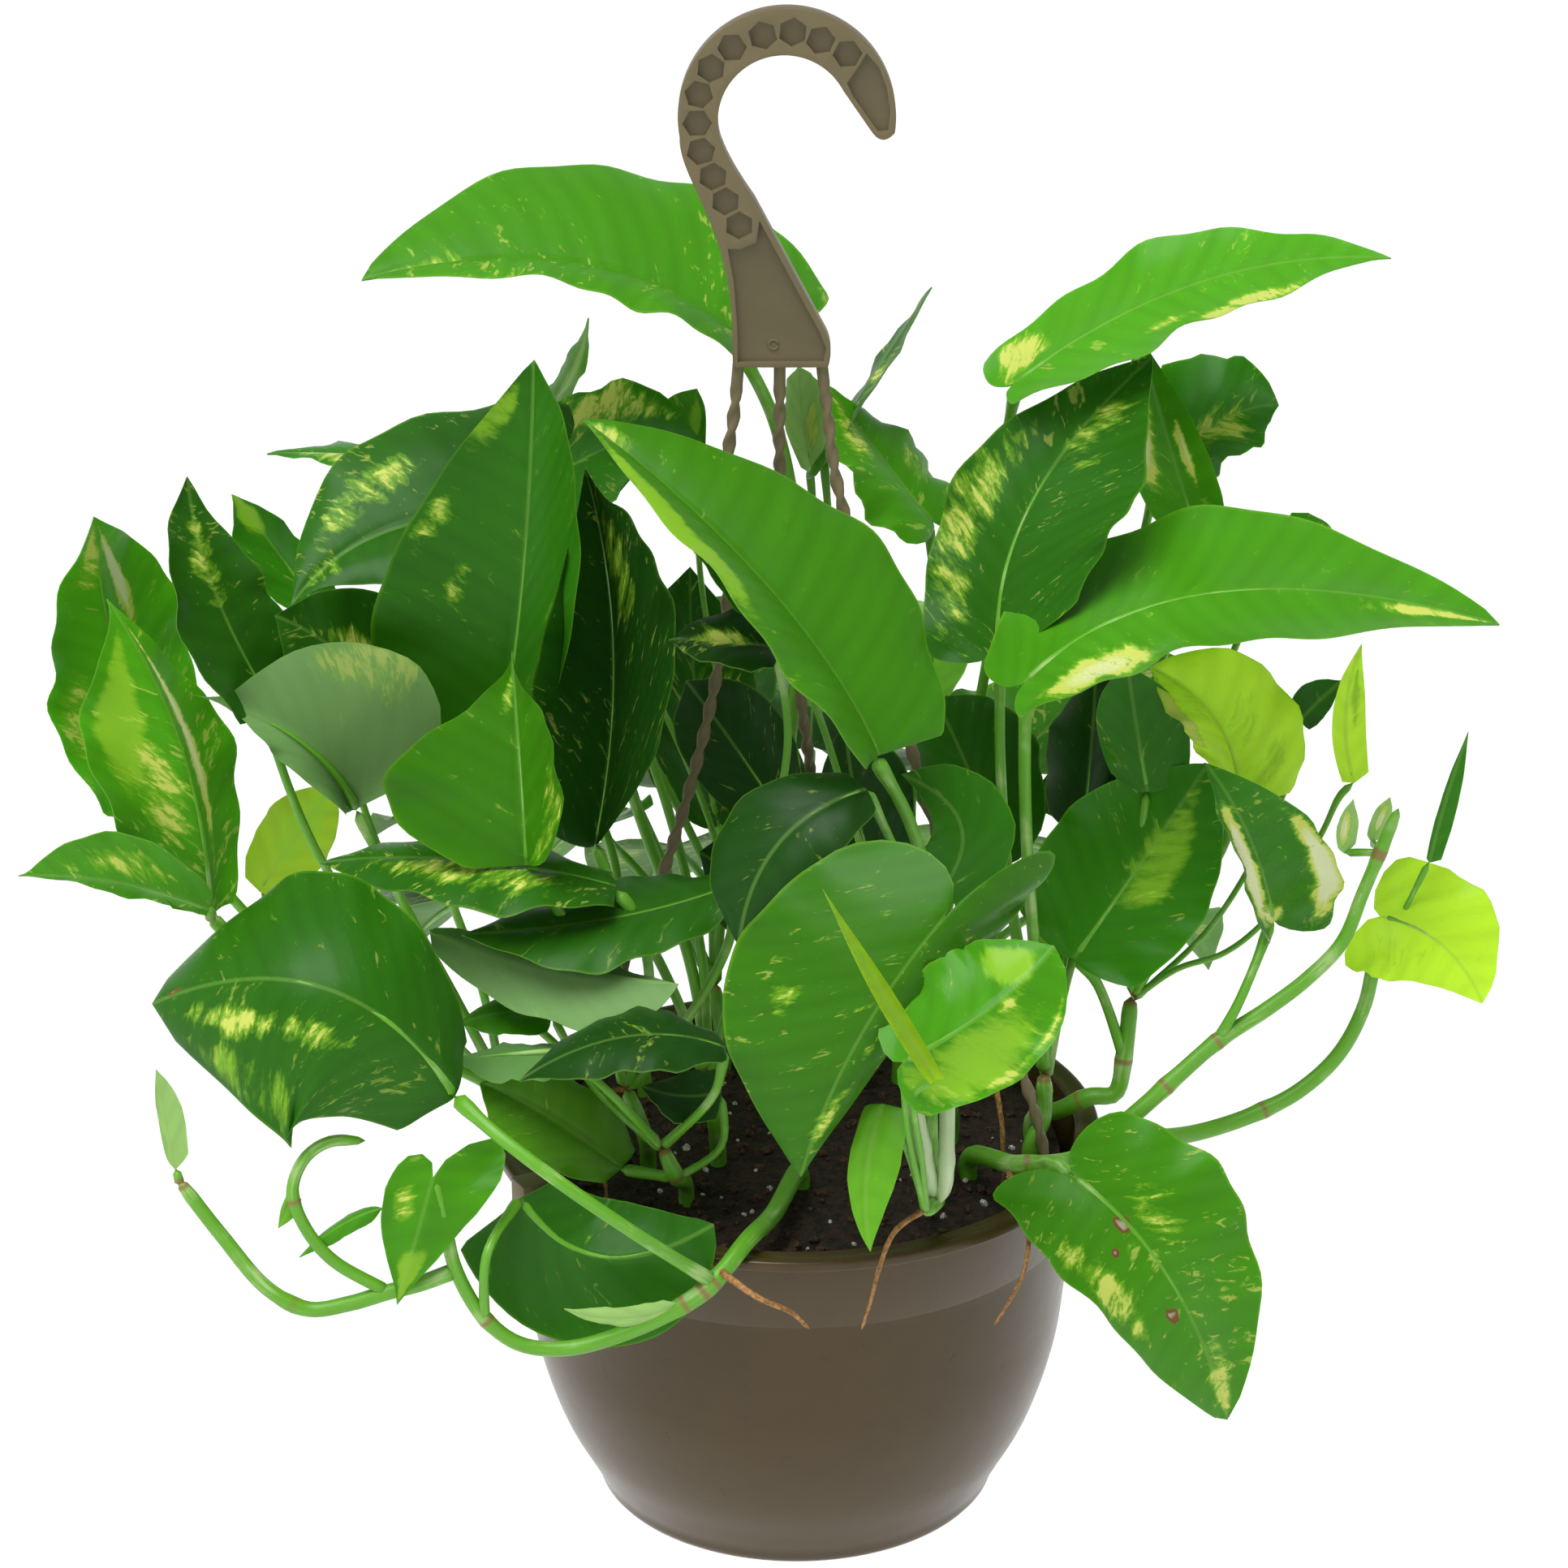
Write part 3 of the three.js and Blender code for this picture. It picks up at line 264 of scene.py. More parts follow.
@dataclass(frozen=True)
class BladeFinish:
    """Waxy leaf: green with cream and lime streaks along the side veins."""

    cream: str = "d0d868"
    white: str = "e8ebc0"
    lime: str = "8cc02c"
    under: str = "7ba164"
    rib: str = "86b450"
    scorch: str = "75502a"
    burnt_out: str = "a7a08c"
    vein_gap: float = 9.0
    broad_scale: Point = (0.06, 0.02, 1)
    streak_scale: Point = (0.15, 0.06, 1)
    fleck_scale: Point = (0.36, 0.17, 1)
    fine_scale: Point = (1.7, 0.7, 1)
    splash_edge: Pair = (0.53, 0.63)
    halo_edge: Pair = (0.43, 0.57)
    spot_edge: Pair = (0.63, 0.7)
    lime_edge: Pair = (0.3, 0.8)
    pale_edge: Pair = (0.95, 1.3)
    scorch_edge: Pair = (0.35, 0.55)
    rib_edge: Pair = (1.1, 0.3)
    margin_edge: Pair = (0.965, 1.0)
    rough: float = 0.36
    relief: float = 0.35

    def build(self) -> Material:
        """Makes the material from the blades' own marks.

        Returns:
            The material.
        """
        b = Bench("blade")
        flow = b.mark("vein", "Vector")
        along, across, _ = b.split(flow)
        flecks, streaks, share = b.split(b.mark("habit", "Vector"))
        creamy, limy, burnt = b.split(b.mark("paint", "Color"))
        top = b.mark("paint", "Alpha")
        tone = b.mark("tone", "Color")

        broad = b.noise(b.stretched(flow, self.broad_scale), 1.0, 3.0, 0.4)
        streak = b.noise(b.stretched(flow, self.streak_scale), 1.0, 4.0, 0.6)
        fleck = b.noise(b.stretched(flow, self.fleck_scale), 1.0, 3.0, 0.8)
        fine = b.noise(b.stretched(flow, self.fine_scale), 1.0, 3.0)

        torn = streak * 0.5 + fleck * 0.36 + fine * 0.14
        cover = torn + (creamy - 0.5) * 0.34 + (broad - 0.5) * 0.2
        splash = b.step(cover, *self.splash_edge)
        halo = b.step(cover + limy * 0.05, *self.halo_edge)
        dots = fleck * 0.6 + broad * 0.3 + fine * 0.1 + flecks * 0.1
        spots = b.step(dots, *self.spot_edge)
        limed = b.step(limy + (broad - 0.5) * 0.8 + (torn - 0.5) * 1.6, *self.lime_edge)

        ridge = b.step((along / self.vein_gap + (broad - 0.5) * 0.5).wave(), 0.0, 0.42)
        # Painted shade: the ridge term darkens the sunken side-vein lines and lightens the puffed
        # strips between them.
        shade = 0.78 + broad * 0.34 + ridge * 0.07 + (fine - 0.5) * 0.1
        colour = b.mix(limed * 0.8, b.shaded(tone, shade), self.lime)
        colour = b.mix(halo * 0.55, colour, self.lime)
        colour = b.mix(spots * 0.75 * flecks.clamped(), colour, self.cream)
        pale = b.mix(b.step(creamy + (fine - 0.5) * 0.4, *self.pale_edge), self.cream, self.white)
        colour = b.mix(splash * 0.9, colour, pale)
        rib = b.step(abs(across), *self.rib_edge) * b.step(share, 1.0, 0.7)
        colour = b.mix(rib * 0.26, colour, self.rib)
        colour = b.mix(b.step(share, *self.margin_edge) * 0.22, colour, self.lime)
        brown = b.mix(b.step(burnt, 0.7, 0.95), self.scorch, self.burnt_out)
        colour = b.mix(b.step(burnt + (torn - 0.5) * 0.5, *self.scorch_edge), colour, brown)
        colour = b.mix((1 - top) * 0.5, colour, self.under)

        height = ridge * 0.35 + (fine - 0.5) * 0.12 + (streak - 0.5) * 0.4
        rough = self.rough + (1 - top) * 0.22 + (fine - 0.5) * 0.1
        rough = rough + (broad - 0.5) * 0.2 + (streaks - 0.3) * 0.2
        return b.surface({
            "Base Color": colour, "Roughness": rough, "Normal": b.bump(height, self.relief, 0.35),
            "Subsurface Weight": 0.15, "Subsurface Radius": (0.5, 1.0, 0.1), "Subsurface Scale": 0.0012,
            "Specular IOR Level": 0.16,
        })


@dataclass(frozen=True)
class StemFinish:
    """Fleshy stems and stalks: pale green, striped along, brown at the nodes."""

    node: str = "8a6a3c"
    pale: str = "c9dca0"

    def build(self) -> Material:
        """Makes the material from the stems' own marks.

        Returns:
            The material.
        """
        b = Bench("stem")
        tone = b.mark("tone", "Color")
        run = b.mark("run", "Vector")
        scar = b.split(run)[2]
        stripe = b.noise(b.stretched(run, (14, 0.05, 0)), 1.0, 3.0)
        patch = b.noise(b.place(), 0.06, 3.0)
        shade = 0.72 + stripe * 0.3 + patch * 0.3
        pale = b.step(patch + stripe * 0.4, 0.72, 0.95)
        colour = b.mix(pale * 0.5, b.shaded(tone, shade), self.pale)
        colour = b.mix(b.step(scar + (patch - 0.5) * 0.4, 0.35, 0.8) * 0.85, colour, self.node)
        bump = b.bump(stripe + patch * 0.3, 0.35, 0.3)
        return b.surface({
            "Base Color": colour, "Roughness": 0.4 + (stripe - 0.5) * 0.2, "Normal": bump,
            "Subsurface Weight": 0.15, "Subsurface Radius": (0.6, 1.0, 0.25), "Subsurface Scale": 0.002,
        })


@dataclass(frozen=True)
class RootFinish:
    """Dry aerial roots: ginger brown, rough, with paler rings."""

    dark: str = "7a5326"
    light: str = "b98a4e"

    def build(self) -> Material:
        """Makes the material.

        Returns:
            The material.
        """
        b = Bench("root")
        grain = b.noise(b.place(), 0.9, 4.0)
        run = b.noise(b.stretched(b.mark("run", "Vector"), (2, 0.25, 0)), 1.0, 3.0)
        colour = b.mix(b.step(grain * 0.6 + run * 0.5, 0.4, 0.7), self.dark, self.light)
        bump = b.bump(grain + run, 0.6, 0.3)
        return b.surface({"Base Color": colour, "Roughness": 0.75, "Normal": bump})


@dataclass(frozen=True)
class MouldedFinish:
    """Injection-moulded plastic of one colour, with faint flow marks and a fine grain.

    Where it has a floor, the pockets between its two floors, that far from the middle, are darker:
    painted shade.
    """

    name: str
    colour: str
    worn: str
    rough: float
    coat: float = 0.0
    ripple: float = 0.0
    floor: float = 0.0
    painted_pocket_shadow: str = "1c170e"
    shadow_share: float = 0.2

    def build(self) -> Material:
        """Makes the material.

        Returns:
            The material.
        """
        b = Bench(self.name)
        place = b.place()
        flow = b.noise(b.stretched(place, (1, 1, 2.5)), 0.018, 3.0, 0.8)
        mottle = b.noise(place, 0.11, 4.0)
        grain = b.noise(place, 2.2, 2.0)
        colour = b.mix(flow * 0.5 + mottle * 0.5, self.colour, self.worn)
        # Painted shade in the hook's pockets: their floors and the foot of their walls are darkened.
        if self.floor:
            pocket_shade_mask = b.step(abs(b.split(place)[1]), self.floor + 1.4, self.floor + 0.2)
            colour = b.mix(pocket_shade_mask * self.shadow_share, colour, self.painted_pocket_shadow)
        rough = self.rough + (mottle - 0.5) * 0.12 + (grain - 0.5) * 0.05
        height = flow * self.ripple + grain * 0.05 + mottle * 0.1
        return b.surface({
            "Base Color": colour, "Roughness": rough.clamped(), "Normal": b.bump(height, 0.3, 1.2),
            "Coat Weight": self.coat, "Coat Roughness": 0.15, "Specular IOR Level": 0.3,
        })


@dataclass(frozen=True)
class EarthFinish:
    """Moist potting mix: dark crumbs and fibres."""

    dark: str = "140e09"
    light: str = "38281b"

    def build(self) -> Material:
        """Makes the material.

        Returns:
            The material.
        """
        b = Bench("earth")
        place = b.place()
        lumps = b.noise(place, 0.22, 6.0)
        crumbs = b.cells(place, 0.55)
        colour = b.mix(b.step(lumps + crumbs * 0.3, 0.4, 0.85), self.dark, self.light)
        return b.surface({
            "Base Color": colour, "Roughness": 0.9, "Normal": b.bump(lumps + crumbs * 0.5, 0.9, 2.0),
        })


@dataclass(frozen=True)
class CrumbFinish:
    """Loose bits on the soil, of one colour with a pitted face and painted shade in its pits."""

    name: str
    colour: str
    shaded: str

    def build(self) -> Material:
        """Makes the material.

        Returns:
            The material.
        """
        b = Bench(self.name)
        pits = b.noise(b.place(), 1.1, 4.0)
        # Painted shade: the low parts of the pits, where the bump sinks, take the shaded colour.
        colour = b.mix(b.step(pits, 0.35, 0.65), self.shaded, self.colour)
        return b.surface({"Base Color": colour, "Roughness": 0.85, "Normal": b.bump(pits, 0.7, 0.5)})


@dataclass(frozen=True)
class PlainFinish:
    """The floor's pale matt paint."""

    colour: str = "f4f4f2"
    other: str = "f1f1f0"

    def build(self) -> Material:
        """Makes the material.

        Returns:
            The material.
        """
        b = Bench("pale_floor")
        tint = b.mix(b.noise(b.place(), 0.002, 2.0), self.colour, self.other)
        return b.surface({"Base Color": tint, "Roughness": 0.9})


class Finishes:
    """Every finish, built once."""

    def __init__(self) -> None:
        """Builds the materials."""
        self.blade = BladeFinish().build()
        self.stem = StemFinish().build()
        self.root = RootFinish().build()
        self.pot = MouldedFinish("pot_plastic", "413116", "50401f", 0.3, 0.2, 0.5).build()
        self.hanger = MouldedFinish("hanger_plastic", "6a6044", "7a7052", 0.45).build()
        self.hook = MouldedFinish("hook_plastic", "6a6044", "7a7052", 0.42, floor=1.3).build()
        self.earth = EarthFinish().build()
        self.perlite = CrumbFinish("perlite", "e8e6de", "a9a396").build()
        self.bark = CrumbFinish("bark", "5a3f28", "22160d").build()
        self.floor = PlainFinish().build()


# ---- mesh helpers --------------------------------------------------------------------------------
def vec(point: Point) -> Vector:
    """A point as a vector."""
    return Vector((float(point[0]), float(point[1]), float(point[2])))


def lerp(low: float, high: float, share: float) -> float:
    """A value between two others."""
    return low + (high - low) * share


class Route:
    """A smooth line through points, the same one that the solids follow."""

    def __init__(self, points: Iterable[Point], pitch: float) -> None:
        """Samples the line and carries a frame along it without twist.

        Args:
            points: The points that it goes through.
            pitch: The distance between samples, in millimetres.
        """
        knots = [vec(p) for p in points]
        fine = self._through(knots)
        lengths = [0.0]
        for a, b in zip(fine, fine[1:]):
            lengths.append(lengths[-1] + (b - a).length)
        self.length = lengths[-1]
        self.count = max(4, round(self.length / pitch))
        self.points: list[Vector] = []
        at = 0
        for k in range(self.count + 1):
            goal = self.length * k / self.count
            while at < len(lengths) - 2 and lengths[at + 1] < goal:
                at += 1
            gap = lengths[at + 1] - lengths[at]
            share = (goal - lengths[at]) / gap if gap else 0.0
            self.points.append(fine[at].lerp(fine[at + 1], min(share, 1.0)))
        self._carry()

    @staticmethod
    def _through(knots: list[Vector], steps: int = 14) -> list[Vector]:
        """Follows the centripetal spline through the knots.

        Args:
            knots: The points that it goes through.
            steps: How many points it gets from one knot to the next.

        Returns:
            The points.
        """
        ends = [knots[0] * 2 - knots[1], *knots, knots[-1] * 2 - knots[-2]]
        line = [knots[0]]
        for a, b, c, d in zip(ends, ends[1:], ends[2:], ends[3:]):
            gap = max((c - b).length, 1e-6) ** 0.5
            before = (b - a).length ** 0.5 or gap
            after = (d - c).length ** 0.5 or gap
            start = ((b - a) / before - (c - a) / (before + gap) + (c - b) / gap) * gap
            end = ((c - b) / gap - (d - b) / (gap + after) + (d - c) / after) * gap
            for k in range(1, steps + 1):
                t = k / steps
                bend = (c - b) * 3 - start * 2 - end
                close = (b - c) * 2 + start + end
                line.append(b + start * t + bend * t * t + close * t**3)
        return line

    def _carry(self) -> None:
        """Works out the direction and the two cross directions at each sample."""
        last = len(self.points) - 1
        self.along = [
            (self.points[min(k + 1, last)] - self.points[max(k - 1, 0)]).normalized()
            for k in range(last + 1)
        ]
        first = self.along[0]
        side = first.cross(Vector((0, 0, 1)))
        if side.length < 0.1:
            side = first.cross(Vector((0, 1, 0)))
        self.side = [side.normalized()]
        for before, after in zip(self.along, self.along[1:]):
            turned = before.rotation_difference(after) @ self.side[-1]
            self.side.append((turned - after * turned.dot(after)).normalized())

    def nearest(self, point: Vector) -> float:
        """The distance along the line of its sample that is nearest to a point."""
        best = min(range(len(self.points)), key=lambda k: (self.points[k] - point).length)
        return self.length * best / self.count

    def at(self, distance: float) -> Vector:
        """The point at a distance along the line."""
        return self.points[max(0, min(self.count, round(distance / self.length * self.count)))]


class Mould:
    """A bmesh in the making, in millimetres, that ends as one object in metres."""

    def __init__(self) -> None:
        """Starts an empty mesh with the layers that the plant's finishes read."""
        self.bm = bmesh.new()
        verts = self.bm.verts.layers
        self.vein = verts.float_vector.new("vein")
        self.habit = verts.float_vector.new("habit")
        self.run = verts.float_vector.new("run")
        self.paint = verts.float_color.new("paint")
        self.tone = verts.float_color.new("tone")

    def tube(
        self,
        route: Route,
        radius: Callable[[float, float], float],
        sides: int,
        tone: Sequence[float] = (1, 1, 1, 1),
        scar: Callable[[float], float] = lambda distance: 0.0,
    ) -> None:
        """Adds a closed tube along a route.

        Args:
            route: The line that it follows.
            radius: The radius for a distance along it and an angle round it.
            sides: How many faces go round it.
            tone: Its colour.
            scar: How brown it is at a distance along it.
        """
        rings = route.count
        made = bmesh.ops.create_grid(self.bm, x_segments=sides, y_segments=rings, size=0.5)["verts"]
        for vert in made:
            angle = 2 * pi * (vert.co.x + 0.5)
            k = round((vert.co.y + 0.5) * rings)
            distance = route.length * k / rings
            side = route.side[k]
            other = route.along[k].cross(side)
            reach = 0.0 if k in (0, rings) else radius(distance, angle)
            vert[self.run] = (angle / (2 * pi), distance, scar(distance))
            vert[self.tone] = tone
            vert.co = route.points[k] + (side * cos(angle) + other * sin(angle)) * reach
        self.close(made)

    def close(self, verts: list[BMVert]) -> None:
        """Welds a part's seam and poles and turns its faces out.

        Args:
            verts: The part's vertices.
        """
        faces = {face for vert in verts for face in vert.link_faces}
        bmesh.ops.remove_doubles(self.bm, verts=verts, dist=MERGE)
        left = [face for face in faces if face.is_valid]
        for face in left:
            face.smooth = True
        bmesh.ops.recalc_face_normals(self.bm, faces=left)

    def finish(self, name: str, material: Material) -> Object:
        """Writes the mesh as an object in metres.

        Args:
            name: The object's name.
            material: Its finish.

        Returns:
            The object, at the origin.
        """
        bmesh.ops.scale(self.bm, vec=(MM, MM, MM), verts=self.bm.verts)
        mesh = bpy.data.meshes.new(name)
        self.bm.to_mesh(mesh)
        self.bm.free()
        mesh.materials.append(material)
        made = bpy.data.objects.new(name, mesh)
        bpy.context.scene.collection.objects.link(made)
        return made


def settle(piece: Object, slot: str, *nodes: str) -> None:
    """Ties a piece to the part: it rides on the one body and may stand for CAD nodes.

    Args:
        piece: The piece.
        slot: The record's material slot; not used.
        nodes: The nodes that it replaces.
    """
    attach(piece, "root")
    if nodes:
        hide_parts(*nodes)
    LOG.info("%s: %d faces", piece.name, len(piece.data.polygons))


def baked(piece: Object) -> None:
    """Turns a piece's modifiers into its mesh.

    Args:
        piece: The piece.
    """
    graph = bpy.context.evaluated_depsgraph_get()
    mesh = bpy.data.meshes.new_from_object(piece.evaluated_get(graph))
    piece.modifiers.clear()
    piece.data = mesh


def cut_away(piece: Object, cutter: Object) -> None:
    """Cuts one object's shape out of another, and removes the cutter.

    Args:
        piece: The object that is cut.
        cutter: The object whose shape goes.
    """
    cut = piece.modifiers.new("cut", "BOOLEAN")
    cut.operation, cut.solver, cut.object = "DIFFERENCE", "EXACT", cutter
    baked(piece)
    bpy.data.objects.remove(cutter)


def eased(piece: Object, width: float, segments: int, over: float) -> None:
    """Rounds a moulded piece's edges, and shades it smooth with its other edges kept crisp.

    Args:
        piece: The piece.
        width: The rounding's width in millimetres.
        segments: How many faces go across it.
        over: The angle in degrees from which an edge is rounded.
    """
    edge = piece.modifiers.new("soft_edges", "BEVEL")
    edge.width, edge.segments = width * MM, segments
    edge.limit_method, edge.angle_limit = "ANGLE", radians(over)
    baked(piece)
    bm = bmesh.new()
    bm.from_mesh(piece.data)
    for face in bm.faces:
        face.smooth = True
    for line in bm.edges:
        line.smooth = not line.is_manifold or line.calc_face_angle() < CRISP
    bm.to_mesh(piece.data)
    bm.free()


def ring_angles(count: int) -> list[float]:
    """Evenly spaced angles round a circle."""
    return [2 * pi * k / count for k in range(count)]


# ---- leaves --------------------------------------------------------------------------------------
def bell(distance: float, width: float) -> float:
    """1 at no distance, falling off smoothly over a width."""
    return exp(-((distance / width) ** 2))


class Mark(Enum):
    """What a patch on a blade is."""

    CREAM = 0
    LIME = 1
    SCORCH = 2


@dataclass(frozen=True)
class Patch:
    """A mark on a blade: where it lies, how far it reaches, and how strong it is.

    Along runs from 0 at the stalk to 1 at the tip, across from -1 at the left margin to 1.
    """

    mark: Mark
    along: float
    across: float
    long: float
    wide: float
    strength: float = 1.0

    def at(self, along: float, across: float) -> float:
        """How strong it is at a point of the blade."""
        far = ((along - self.along) / self.long) ** 2 + ((across - self.across) / self.wide) ** 2
        return self.strength * exp(-PATCH_EDGE * far * far)


@dataclass(frozen=True)
class Look:
    """How one leaf looks.

    Flecks and streaks say how many pale specks it has and how dull it is, from 0 to 1. Ruffle is
    the wave of its margins as a share of its width. Back is true where its underside faces the
    eye. Light scales its green, partly for its own tone and partly as painted light and shade for
    how the leaf is lit where it hangs. Curl rolls each of its sides up, to a half circle at 1.
    """

    tone: Tone = Tone.MID
    flecks: float = 0.35
    patches: tuple[Patch, ...] = ()
    streaks: float = 0.3
    ruffle: float = 0.03
    back: bool = False
    light: float = 1.0
    curl: float = 0.0


PATCH_EDGE = 1.2
WIDEST = 0.3
LOBE_END = 0.2
LOBE_TURN = radians(150)
FULL_HEEL = 0.812
PLAIN_SHAPE = (0.0, 0.85, FULL_HEEL)
SWELL = 1.27
EVEN_TAPER = 0.55
SWELL_BY_TAPER = 1.6
SWELL_BY_HEEL = 1.9
BOW = 0.08
EYE_SIDE = 95.0
STALK_THIN = 0.9
STALK_PER_WIDTH = 0.016
RIB_SHARES = (0.1, 0.3, 0.55, 0.8)
FOLDED_BACK = -0.4
LEAST_ROLL = 1e-4


@dataclass
class Leaf:
    """A heart-shaped blade on its stalk, grown from the five points that its solid has.

    The shape is how far its lobes reach back, how it tapers, and how wide its heel is. The other
    sizes are in millimetres, those of the relief for a leaf 100 mm wide.
    """

    name: str
    base: Vector
    rib: Vector
    tip: Vector
    left: Vector
    right: Vector
    shape: Sequence[float]
    stalk: list[Vector]
    look: Look
    thick: float = 0.55
    row_pitch: float = 2.4
    column_pitch: float = 5.5
    groove_deep: float = 0.6
    groove_wide: float = 1.6
    vein_rise: float = 0.09
    vein_wander: float = 0.9
    waves: tuple[float, float] = (2.6, 6.1)
    shade_spread: float = 0.14
    stalk_sides: int = 10
    rib_sides: int = 8
    pitch: float = 3.0

    def __post_init__(self) -> None:
        """Works out the frame at the widest place and which face is the upper one."""
        self.wide_point, self.wide_way = self.rib_at(WIDEST)
        self.to_left = self.left - self.wide_point
        self.to_right = self.right - self.wide_point
        normal = self.to_left.cross(self.wide_way).normalized()
        normal += self.wide_way.cross(self.to_right).normalized()
        self.normal = normal.normalized()
        self.width = self.to_left.length + self.to_right.length
        self.span = (self.rib - self.base).length + (self.tip - self.rib).length
        self.rng = random.Random(self.name)
        to_eye = (EYE - self.wide_point).normalized()
        seen = self.normal.dot(to_eye) if self.wide_point.y < EYE_SIDE else self.normal.z
        self.up = 1.0 if (seen > 0) != self.look.back else -1.0

    @property
    def stalk_radius(self) -> float:
        """The stalk's radius."""
        return STALK_THIN + STALK_PER_WIDTH * (self.left - self.right).length

    def rib_at(self, share: float) -> tuple[Vector, Vector]:
        """Follows the rib, and goes straight on behind the stalk.

        Args:
            share: The share of the rib, from 0 at the stalk to 1 at the tip, or below 0.

        Returns:
            The point and the direction there.
        """
        middle = self.rib * 2 - self.base * 0.5 - self.tip * 0.5
        t = max(share, 0.0)
        point = self.base * (1 - t) ** 2 + middle * (2 * t * (1 - t)) + self.tip * (t * t)
        start = middle - self.base
        if share < 0:
            point += start * (2 * share)
        return point, (start * (1 - t) + (self.tip - middle) * t).normalized()

    def margin(self, s: float) -> tuple[float, float]:
        """Follows the margin of a side, round its lobe and on to the tip.

        Args:
            s: The share of its length.

        Returns:
            How far along the rib it is, and how far across as a share of the widest place.
        """
        lobe, taper, heel = self.shape
        if s < LOBE_END:
            angle = LOBE_TURN * s / LOBE_END
            return -lobe * sin(angle), heel * (1 - cos(angle)) / (1 - cos(LOBE_TURN))
        q = (s - LOBE_END) / (1 - LOBE_END)
        full = SWELL + SWELL_BY_TAPER * (taper - EVEN_TAPER) + SWELL_BY_HEEL * (FULL_HEEL - heel)
        swell = heel + full * q
        return -0.5 * lobe + (1 + 0.5 * lobe) * q, (1 - q) ** taper * swell * (1 - 0.5 * q**5)

    def surface(self, s: float, u: float) -> tuple[Vector, Vector, float, float]:
        """A point of the blade's middle surface.

        Args:
            s: From 0 at the stalk to 1 at the tip.
            u: From -1 at the left margin to 1 at the right.

        Returns:
            The point, the direction off the upper face, the share along the rib and the distance
            across in millimetres.
        """
        reach, across = self.margin(s)
        share = abs(u)
        along = s**1.5 + (reach - s**1.5) * share**1.2
        point, way = self.rib_at(along)
        bend = self.wide_way.rotation_difference(way)
        side = bend @ (self.to_left if u < 0 else self.to_right)
        normal = bend @ self.normal
        roll = max(pi * self.look.curl * share, LEAST_ROLL)
        point = point + side * (across * share * sin(roll) / roll)
        bow = BOW * self.width / 2 * across * share * (1 - share) * 4
        bow += self.up * side.length * across * share * (1 - cos(roll)) / roll
        return point + normal * bow, normal, along, side.length * across * u

    def relief(self, vein: float, across: float, share: float, s: float, phase: float) -> float:
        """How far the blade stands off its middle surface: rib groove, puffed veins, waves.

        Args:
            vein: The distance along the side veins' pattern.
            across: The distance from the rib.
            share: The same as a share of the half width.
            s: From 0 at the stalk to 1 at the tip.
            phase: Where the waves of this side start.

        Returns:
            The distance off the middle surface.
        """
        size = (self.width / 100) ** 0.5
        groove = -self.groove_deep * size * bell(across, self.groove_wide * size)
        wander = self.vein_wander * noise.noise(Vector((vein / 22, across / 30, phase * 9)))
        puff = -cos(2 * pi * (vein / BladeFinish.vein_gap + wander))
        veins = self.vein_rise * size * puff * min(1.0, abs(across) / 6) * (1 - share**3)
        slow, quick = (2 * pi * (count * s) for count in self.waves)
        turn = 2 * pi * phase
        wave = sin(slow + turn) + 0.6 * sin(quick + 2 * turn)
        wave *= self.look.ruffle * self.width * share**3 * sin(pi * s)
        return self.up * (groove + veins) + wave

    def _face(self, mould: Mould) -> tuple[list[BMVert], dict[Any, Vector]]:
        """Adds the middle surface of the blade, with the marks that its finish reads.

        Args:
            mould: The mesh it goes into.

        Returns:
            Its vertices, and the direction off the upper face at each.
        """
        rows = max(14, min(64, round(self.span / self.row_pitch)))
        columns = 2 * max(4, min(16, round(self.width / self.column_pitch)))
        grid = {"x_segments": columns, "y_segments": rows, "size": 0.5}
        made = bmesh.ops.create_grid(mould.bm, **grid)["verts"]
        phases = (self.rng.random(), self.rng.random())
        seed = 40 * self.rng.random()
        # The light factor is partly the leaf's own tone and partly painted light and shade; the random
        # spread is its own tone.
        shade = self.look.light * (1 - self.shade_spread / 2 + self.shade_spread * self.rng.random())
        tone = [channel * shade for channel in srgb(self.look.tone.value)[:3]]
        normals = {}
        for vert in made:
            u, s = 2 * vert.co.x, vert.co.y + 0.5
            point, normal, along, across = self.surface(s, u)
            share = abs(u)
            vein = along * self.span - abs(across) * (0.75 - 0.3 * s) + seed * 8
            vert.co = point + normal * self.relief(vein, across, share, s, phases[u > 0])
            normals[vert] = normal
            marks = [0.0, 0.0, 0.0]
            for patch in self.look.patches:
                marks[patch.mark.value] += patch.at(along, u)
            vert[mould.vein] = (vein, across, seed)
            vert[mould.habit] = (self.look.flecks, self.look.streaks, share)
            vert[mould.paint] = (*marks, 1.0)
            vert[mould.tone] = (*tone, 1.0)
        bmesh.ops.remove_doubles(mould.bm, verts=made, dist=MERGE)
        return [vert for vert in made if vert.is_valid], normals

    def blade(self, mould: Mould) -> None:
        """Adds the blade: two faces, thinner at the margin, and a rim.

        Args:
            mould: The mesh it goes into.
        """
        bm = mould.bm
        upper, normals = self._face(mould)
        faces = list({face for vert in upper for face in vert.link_faces})
        lines = list({edge for face in faces for edge in face.edges})
        doubled = bmesh.ops.duplicate(bm, geom=upper + lines + faces)
        twins = doubled["vert_map"]
        lower = [part for part in doubled["geom"] if isinstance(part, BMVert)]
        under = [part for part in doubled["geom"] if isinstance(part, BMFace)]
        for vert in upper:
            twin = twins[vert]
            half = self.thick / 2 * (1 - 0.55 * vert[mould.habit][2] ** 6)
            vert.co += normals[vert] * half * self.up
            twin.co -= normals[vert] * half * self.up
            twin[mould.paint] = (*twin[mould.paint][:3], 0.0)
        rims = [edge for part in (upper, lower) for vert in part for edge in vert.link_edges]
        rims = [edge for edge in set(rims) if edge.is_boundary]
        for edge in rims:
            edge.smooth = False
        whole = faces + under + bmesh.ops.bridge_loops(bm, edges=rims)["faces"]
        for face in whole:
            face.smooth = True
        bmesh.ops.recalc_face_normals(bm, faces=whole)

